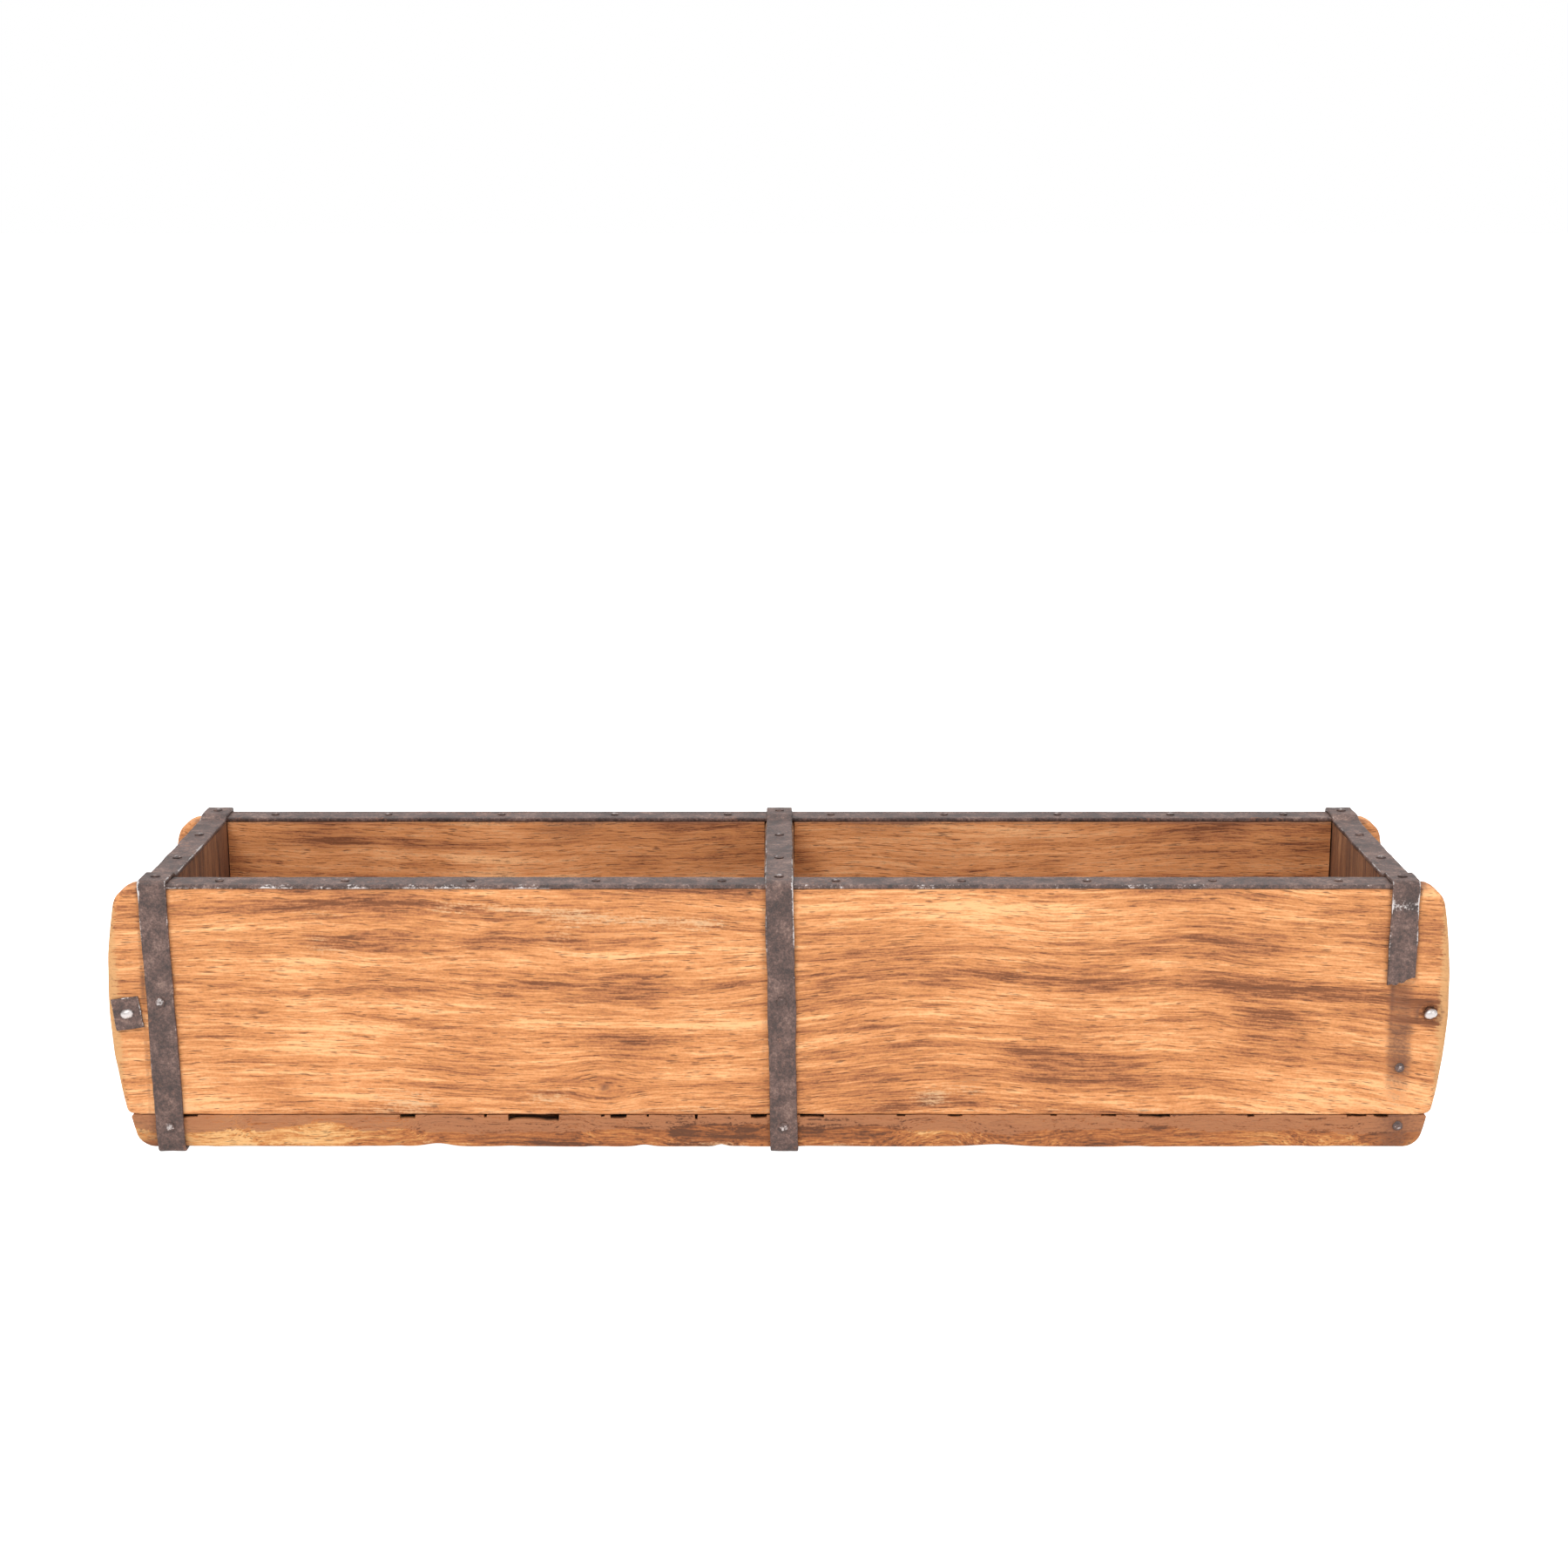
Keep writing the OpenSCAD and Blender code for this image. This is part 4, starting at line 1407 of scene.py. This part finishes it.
@dataclass
class Nails:
    """A set of nails whose domed heads show."""

    node: str
    heads: Sequence[tuple[tuple[float, float, float], tuple[float, float, float]]]
    head_d: float
    seed: int
    height: float = 1.0
    shank: float = 3.0
    bright: float = 0.2

    def one(self, place: Sequence[float], out: Sequence[float], seed: int) -> Surface:
        """Turns a nail's profile about its axis: a domed head over a short stretch of shank.

        Above a rim a quarter of its height, the dome at angle a has radius r sin a, and it rises by
        cos a times the rest of its height.

        Args:
            place: Where the nail enters the surface under its head.
            out: Direction outward.
            seed: Makes each head uneven in its own way.

        Returns:
            The nail's surface.
        """
        axis = np.array(out, dtype=float)
        side = np.cross(axis, (0.31, 0.87, 0.38))
        side /= np.linalg.norm(side)
        other = np.cross(axis, side)
        radius, rim = self.head_d / 2.0, 0.25 * self.height
        angles = np.radians([72.0, 54.0, 36.0, 18.0, 6.0])
        r = np.concatenate([radius * np.array([0.5, 0.55, 0.93, 1.0]), radius * np.sin(angles)])
        h = np.concatenate([[-self.shank, -0.1, 0.0, rim], rim + (self.height - rim) * np.cos(angles)])
        turn = np.linspace(0.0, 2.0 * math.pi, 20, endpoint=False)
        cos, sin = np.cos(turn), np.sin(turn)
        wobble = 1.0 + 0.07 * noise((cos * 2.0, sin * 2.0, 0.0), (1.0, 1.0, 1.0), seed)
        rr = r[:, None] * np.where(h[:, None] > -0.05, wobble, 1.0)
        dents = 0.12 * (noise((rr * cos, rr * sin, 1.0), (1.4, 1.4, 1.0), seed + 1) - 1.0)
        hh = h[:, None] + ease(h, 0.2, 0.8)[:, None] * dents
        around = cos[:, None] * side + sin[:, None] * other
        rings = np.array(place, dtype=float) + rr[..., None] * around + hh[..., None] * axis
        level = self.bright * (0.6 + 0.4 * float(scatter([np.array([seed])] * 3, seed)[0]))
        bright = level + 0.35 * ease(h, 0.3, 0.95)[:, None] + 0.0 * rr
        return tube(rings, {"bright": bright, "rust": np.full(rr.shape, 0.2)})

    def dress(self, iron: Material) -> None:
        """Makes the nails' object."""
        parts = [self.one(*head, self.seed + 7 * number) for number, head in enumerate(self.heads)]
        make_piece(self.node, "iron", joined(parts), iron)


@dataclass
class TieRod:
    """A rod through both ears, hammered over at its ends."""

    node: str
    x: float
    seed: int
    radius: float = 2.1

    def build(self) -> Surface:
        """Turns a profile about the rod's axis; the hammered ends are uneven.

        Returns:
            The rod's surface.
        """
        tip = [(0.4, 83.1), (1.3, 82.95), (2.1, 82.5), (2.65, 81.9), (2.75, 81.55), (self.radius, 81.45)]
        shank = [(self.radius, y) for y in np.linspace(81.3, -81.3, 110)]
        r, y = np.array(tip + shank + [(radius, -place) for radius, place in tip[::-1]]).T
        turn = np.linspace(0.0, 2.0 * math.pi, 28, endpoint=False)
        yy, aa = np.meshgrid(y, turn, indexing="ij")
        bump = 0.05 * noise((yy, np.cos(aa) * 2.0, np.sin(aa) * 2.0), (6.0, 1.0, 1.0), self.seed)
        flat = ease(np.abs(yy), 81.0, 81.6) * (0.13 * np.cos(2.0 * (aa - 0.3)) - 0.06)
        rr = r[:, None] * (1.0 + bump + flat)
        rings = np.stack([self.x + rr * np.cos(aa), yy, ROD_Z + rr * np.sin(aa)], axis=-1)
        end = ease(np.abs(yy), 81.0, 82.2)
        return tube(rings, {"bright": 0.15 + 0.75 * end, "rust": 0.5 * (1.0 - end)})

    def dress(self, iron: Material) -> None:
        """Makes the rod's object."""
        make_piece(self.node, "steel", self.build(), iron)


@dataclass
class Washer:
    """A square plate under the hammered end of a rod."""

    side: Side
    end: str
    x: float
    seed: int
    turn: float = 8.0
    half_w: float = 6.2
    half_h: float = 7.2
    thick: float = 1.5

    def build(self) -> Surface:
        """Rounds a plate, dishes it towards its edges and turns it about the rod.

        Returns:
            The washer's surface.
        """
        low, high = (-self.half_w, 0.0, -self.half_h), (self.half_w, self.thick, self.half_h)
        surface, _ = worn_block(low, high, (0.7, 0.5, 0.7), 0.5)
        x, y, z = surface.points.T
        wavy = 0.15 * noise((z, 0.0, np.sign(x)), (4.0, 1.0, 1.0), self.seed)
        x = x * (1.0 - 0.02 * ease(np.abs(z), 5.5, self.half_h)) + wavy
        z = z + 0.15 * noise((x, 2.0, np.sign(z)), (4.0, 1.0, 1.0), self.seed + 1)
        dents = 0.08 * rough((x, z, 0.0), (3.0, 3.0, 1.0), self.seed + 2)
        y = y + (dents - 0.3 * ease(np.hypot(x, z), 3.0, 8.0)) * y / self.thick
        rim = np.maximum(np.abs(x) - self.half_w, np.abs(z) - self.half_h) + 0.8
        edge = ease(rim, 0.0, 0.6) * ease(y, 0.5, 1.2)
        bright = edge * (0.5 + 0.4 * noise((x, z, 0.0), (3.0, 3.0, 1.0), self.seed + 3))
        rust = 0.3 * ease(rough((x, z, 3.0), (5.0, 5.0, 1.0), self.seed + 4), -0.2, 0.6)
        cos, sin = math.cos(math.radians(self.turn)), math.sin(math.radians(self.turn))
        points = np.stack([self.x + x * cos - z * sin, self.side.value * (FACE_Y + y),
                           ROD_Z + x * sin + z * cos], axis=-1)
        return facing_out(Surface(points, surface.quads, marks={"bright": bright, "rust": rust}))

    def dress(self, iron: Material) -> None:
        """Makes the washer's object."""
        make_piece(f"{self.side.word}_{self.end}_washer", "iron", self.build(), iron)


# The whole mould and its studio


@dataclass
class Carcass:
    """All the boards."""

    boards: Sequence[SideBoard | BaseBoard | CrossBoard] = field(default_factory=lambda: [
        SideBoard(Side.FRONT, 100), SideBoard(Side.BACK, 200), BaseBoard(),
        CrossBoard("left_end_board", -BAY_END_X, 12.0, 500),
        CrossBoard("right_end_board", BAY_END_X, 12.0, 540),
        CrossBoard("centre_divider", 0.0, 14.0, 580),
    ])
    side_wood: WeatheredWood = WeatheredWood("side_board_wood", (
        (0.02, "#7c4827"), (0.22, "#ae6e43"), (0.45, "#cd8850"), (0.68, "#e39c64"), (0.95, "#fbbd83")))
    base_wood: WeatheredWood = WeatheredWood("base_board_wood", (
        (0.02, "#5f3820"), (0.25, "#93572f"), (0.5, "#b5703d"), (0.75, "#cf8f52"), (0.97, "#e8b679")))
    # Darker wood for the end boards and divider, also painted darker for the shade inside the bays
    inner_wood: WeatheredWood = WeatheredWood("inner_board_wood_and_shade", (
        (0.02, "#4a2e1e"), (0.25, "#6d4830"), (0.5, "#83583a"), (0.75, "#9b6b47"), (0.97, "#b78761")))

    def dress(self) -> None:
        """Builds each board in its wood."""
        side, base, inner = self.side_wood.build(), self.base_wood.build(), self.inner_wood.build()
        woods = {SideBoard: side, BaseBoard: base, CrossBoard: inner}
        for board in self.boards:
            board.dress(woods[type(board)])


@dataclass
class Ironwork:
    """Bands, straps, rods, washers and nails."""

    iron: WroughtIron = WroughtIron()
    rim_nails_x: tuple[float, ...] = (25.0, 80.0, 135.0, 190.0, 245.0)
    base_nails_x: tuple[float, ...] = (40.0, 120.0, 200.0)
    leg_nails_z: tuple[float, float] = (69.5, 12.0)
    bare_nails_z: tuple[float, float] = (39.0, 12.0)

    def rim_nails(self, side: Side) -> Nails:
        """Sets the nails of one rim band.

        Args:
            side: Side that the band is on.

        Returns:
            Ten nails in a row.
        """
        places = [(sign * x, side.value * BAND_Y, RIM_Z) for sign in (-1.0, 1.0) for x in self.rim_nails_x]
        return Nails(side.word + "_rim_nails", [(place, (0.0, 0.0, 1.0)) for place in places], 4.0,
                     700 + int(side.value))

    def strap_nails(self, name: str, middle: float) -> Nails:
        """Sets the nails of one strap: two in the bays, two over the rims, and two in each leg.

        Args:
            name: The strap's place in its node's name.
            middle: Its place along X.

        Returns:
            The nails. The right strap's front ones stay bare in the wood below its torn end.
        """
        heads = [((middle, side * 25.0, RIM_Z), (0.0, 0.0, 1.0)) for side in (-1.0, 1.0)]
        heads += [((middle, side * BAND_Y, TOP_Z), (0.0, 0.0, 1.0)) for side in (-1.0, 1.0)]
        heads += [((middle, FACE_Y + IRON_T, z), (0.0, 1.0, 0.0)) for z in self.leg_nails_z]
        bare = name == "right"
        seat = -FACE_Y if bare else -FACE_Y - IRON_T
        for z in self.bare_nails_z if bare else self.leg_nails_z:
            slant = math.tan(math.radians(STRAP_LEAN)) * (RIM_Z - z)
            heads.append(((middle + slant, seat, z), (0.0, -1.0, 0.0)))
        return Nails(name + "_strap_nails", heads, 4.4, 760 + int(middle))

    def base_nails(self) -> Nails:
        """Sets the nails up through the base, into the side and cross boards.

        Returns:
            The nails.
        """
        signs = (-1.0, 1.0)
        places = [(sign * x, side * 71.5, FOOT_Z)
                  for sign in signs for side in signs for x in self.base_nails_x]
        places += [(x, side * 31.5, FOOT_Z) for x in STRAPS_X for side in signs]
        return Nails("base_nails", [(place, (0.0, 0.0, -1.0)) for place in places], 5.6, 900)

    def dress(self) -> None:
        """Builds all the iron."""
        iron = self.iron.build()
        pieces = [
            RimBand(Side.FRONT, 600), RimBand(Side.BACK, 620),
            Strap("left_strap", -BAY_END_X, 640), Strap("centre_strap", 0.0, 660),
            Strap("right_strap", BAY_END_X, 680, lean=0.0, torn=True),
            TieRod("left_tie_rod", -ROD_X, 800), TieRod("right_tie_rod", ROD_X, 820),
            Washer(Side.FRONT, "left", -ROD_X, 840),
            Washer(Side.BACK, "left", -ROD_X, 850),
            Washer(Side.BACK, "right", ROD_X, 860),
            *[self.rim_nails(side) for side in Side],
            *[self.strap_nails(name, middle) for name, middle in zip(("left", "centre", "right"), STRAPS_X)],
            self.base_nails(),
        ]
        for piece in pieces:
            piece.dress(iron)


@dataclass(frozen=True)
class Lamp:
    """A square soft lamp that is turned towards the mould."""

    name: str
    place: tuple[float, float, float]
    size: float
    watts: float
    aim: tuple[float, float, float] = (0.0, 0.0, 0.06)

    def build(self) -> None:
        """Makes the lamp and turns it towards its aim."""
        data = bpy.data.lights.new(self.name, "AREA")
        data.shape = "SQUARE"
        data.size = self.size
        data.energy = self.watts
        lamp = bpy.data.objects.new(self.name, data)
        lamp.location = self.place
        way = np.array(self.aim) - np.array(self.place)
        flat = math.hypot(way[0], way[1])
        lamp.rotation_euler = (math.atan2(flat, -way[2]), 0.0, math.atan2(way[1], way[0]) - math.pi / 2.0)
        bpy.context.scene.collection.objects.link(lamp)


@dataclass
class Studio:
    """A white floor and background, soft lamps, and the camera where the photograph was taken from."""

    lens: float = 66.19
    place: tuple[float, float, float] = (0.00224, -1.3034, 0.4042)
    tilt: float = 75.1
    rise: float = 226.0 / 1800.0
    floor_half: float = 60.0
    grey: float = 0.55
    lamps: tuple[Lamp, ...] = (
        Lamp("key", (-0.9, -1.5, 1.9), 1.2, 34.0),
        Lamp("fill", (1.3, -1.6, 1.0), 1.2, 12.0),
        Lamp("top", (0.0, 0.5, 2.0), 1.4, 14.0),
    )

    def floor(self) -> None:
        """A white floor that keeps the mould's shadow and is white to the camera elsewhere."""
        mesh = bpy.data.meshes.new("floor")
        far = self.floor_half
        corners = [(-far, -far, 0.0), (far, -far, 0.0), (far, far, 0.0), (-far, far, 0.0)]
        mesh.from_pydata(corners, [], [(0, 1, 2, 3)])
        piece = bpy.data.objects.new("floor", mesh)
        bpy.context.scene.collection.objects.link(piece)
        r = Recipe("white_floor")
        mesh.materials.append(r.finish(Base_Color=(0.86, 0.86, 0.86, 1.0), Roughness=0.9,
                                       Emission_Color=(1.0, 1.0, 1.0, 1.0),
                                       Emission_Strength=background_rays(r.tree)))

    def world(self) -> None:
        """White to the camera and in reflections, and a plain grey light for everything else."""
        world = bpy.data.worlds.new("studio_white")
        bpy.context.scene.world = world
        world.use_nodes = True
        tree = world.node_tree
        tree.nodes.clear()
        level = add_node(tree, "ShaderNodeMapRange",
                         {"Value": background_rays(tree), "To Min": self.grey, "To Max": 1.0})
        light = add_node(tree, "ShaderNodeBackground",
                         {"Color": (1.0, 1.0, 1.0, 1.0), "Strength": level.outputs[0]})
        add_node(tree, "ShaderNodeOutputWorld", {"Surface": light.outputs[0]})

    def camera(self) -> None:
        """The camera, with its lens turned down and its frame shifted as in the photograph."""
        data = bpy.data.cameras.new("camera")
        data.sensor_width = 36.0
        data.lens = self.lens
        data.shift_y = self.rise
        data.clip_end = 200.0
        camera = bpy.data.objects.new("camera", data)
        camera.location = self.place
        camera.rotation_euler = (math.radians(self.tilt), 0.0, 0.0)
        bpy.context.scene.collection.objects.link(camera)
        bpy.context.scene.camera = camera

    def build(self) -> None:
        """Sets up the whole studio."""
        self.camera()
        self.floor()
        self.world()
        for lamp in self.lamps:
            lamp.build()
        bpy.context.scene.view_settings.view_transform = "Standard"


def main() -> None:
    """Builds the studio, the boards and the iron."""
    logging.basicConfig(level=logging.INFO, format="%(message)s")
    Studio().build()
    Carcass().dress()
    Ironwork().dress()
    bpy.context.view_layer.update()


if __name__ == "__main__":
    main()
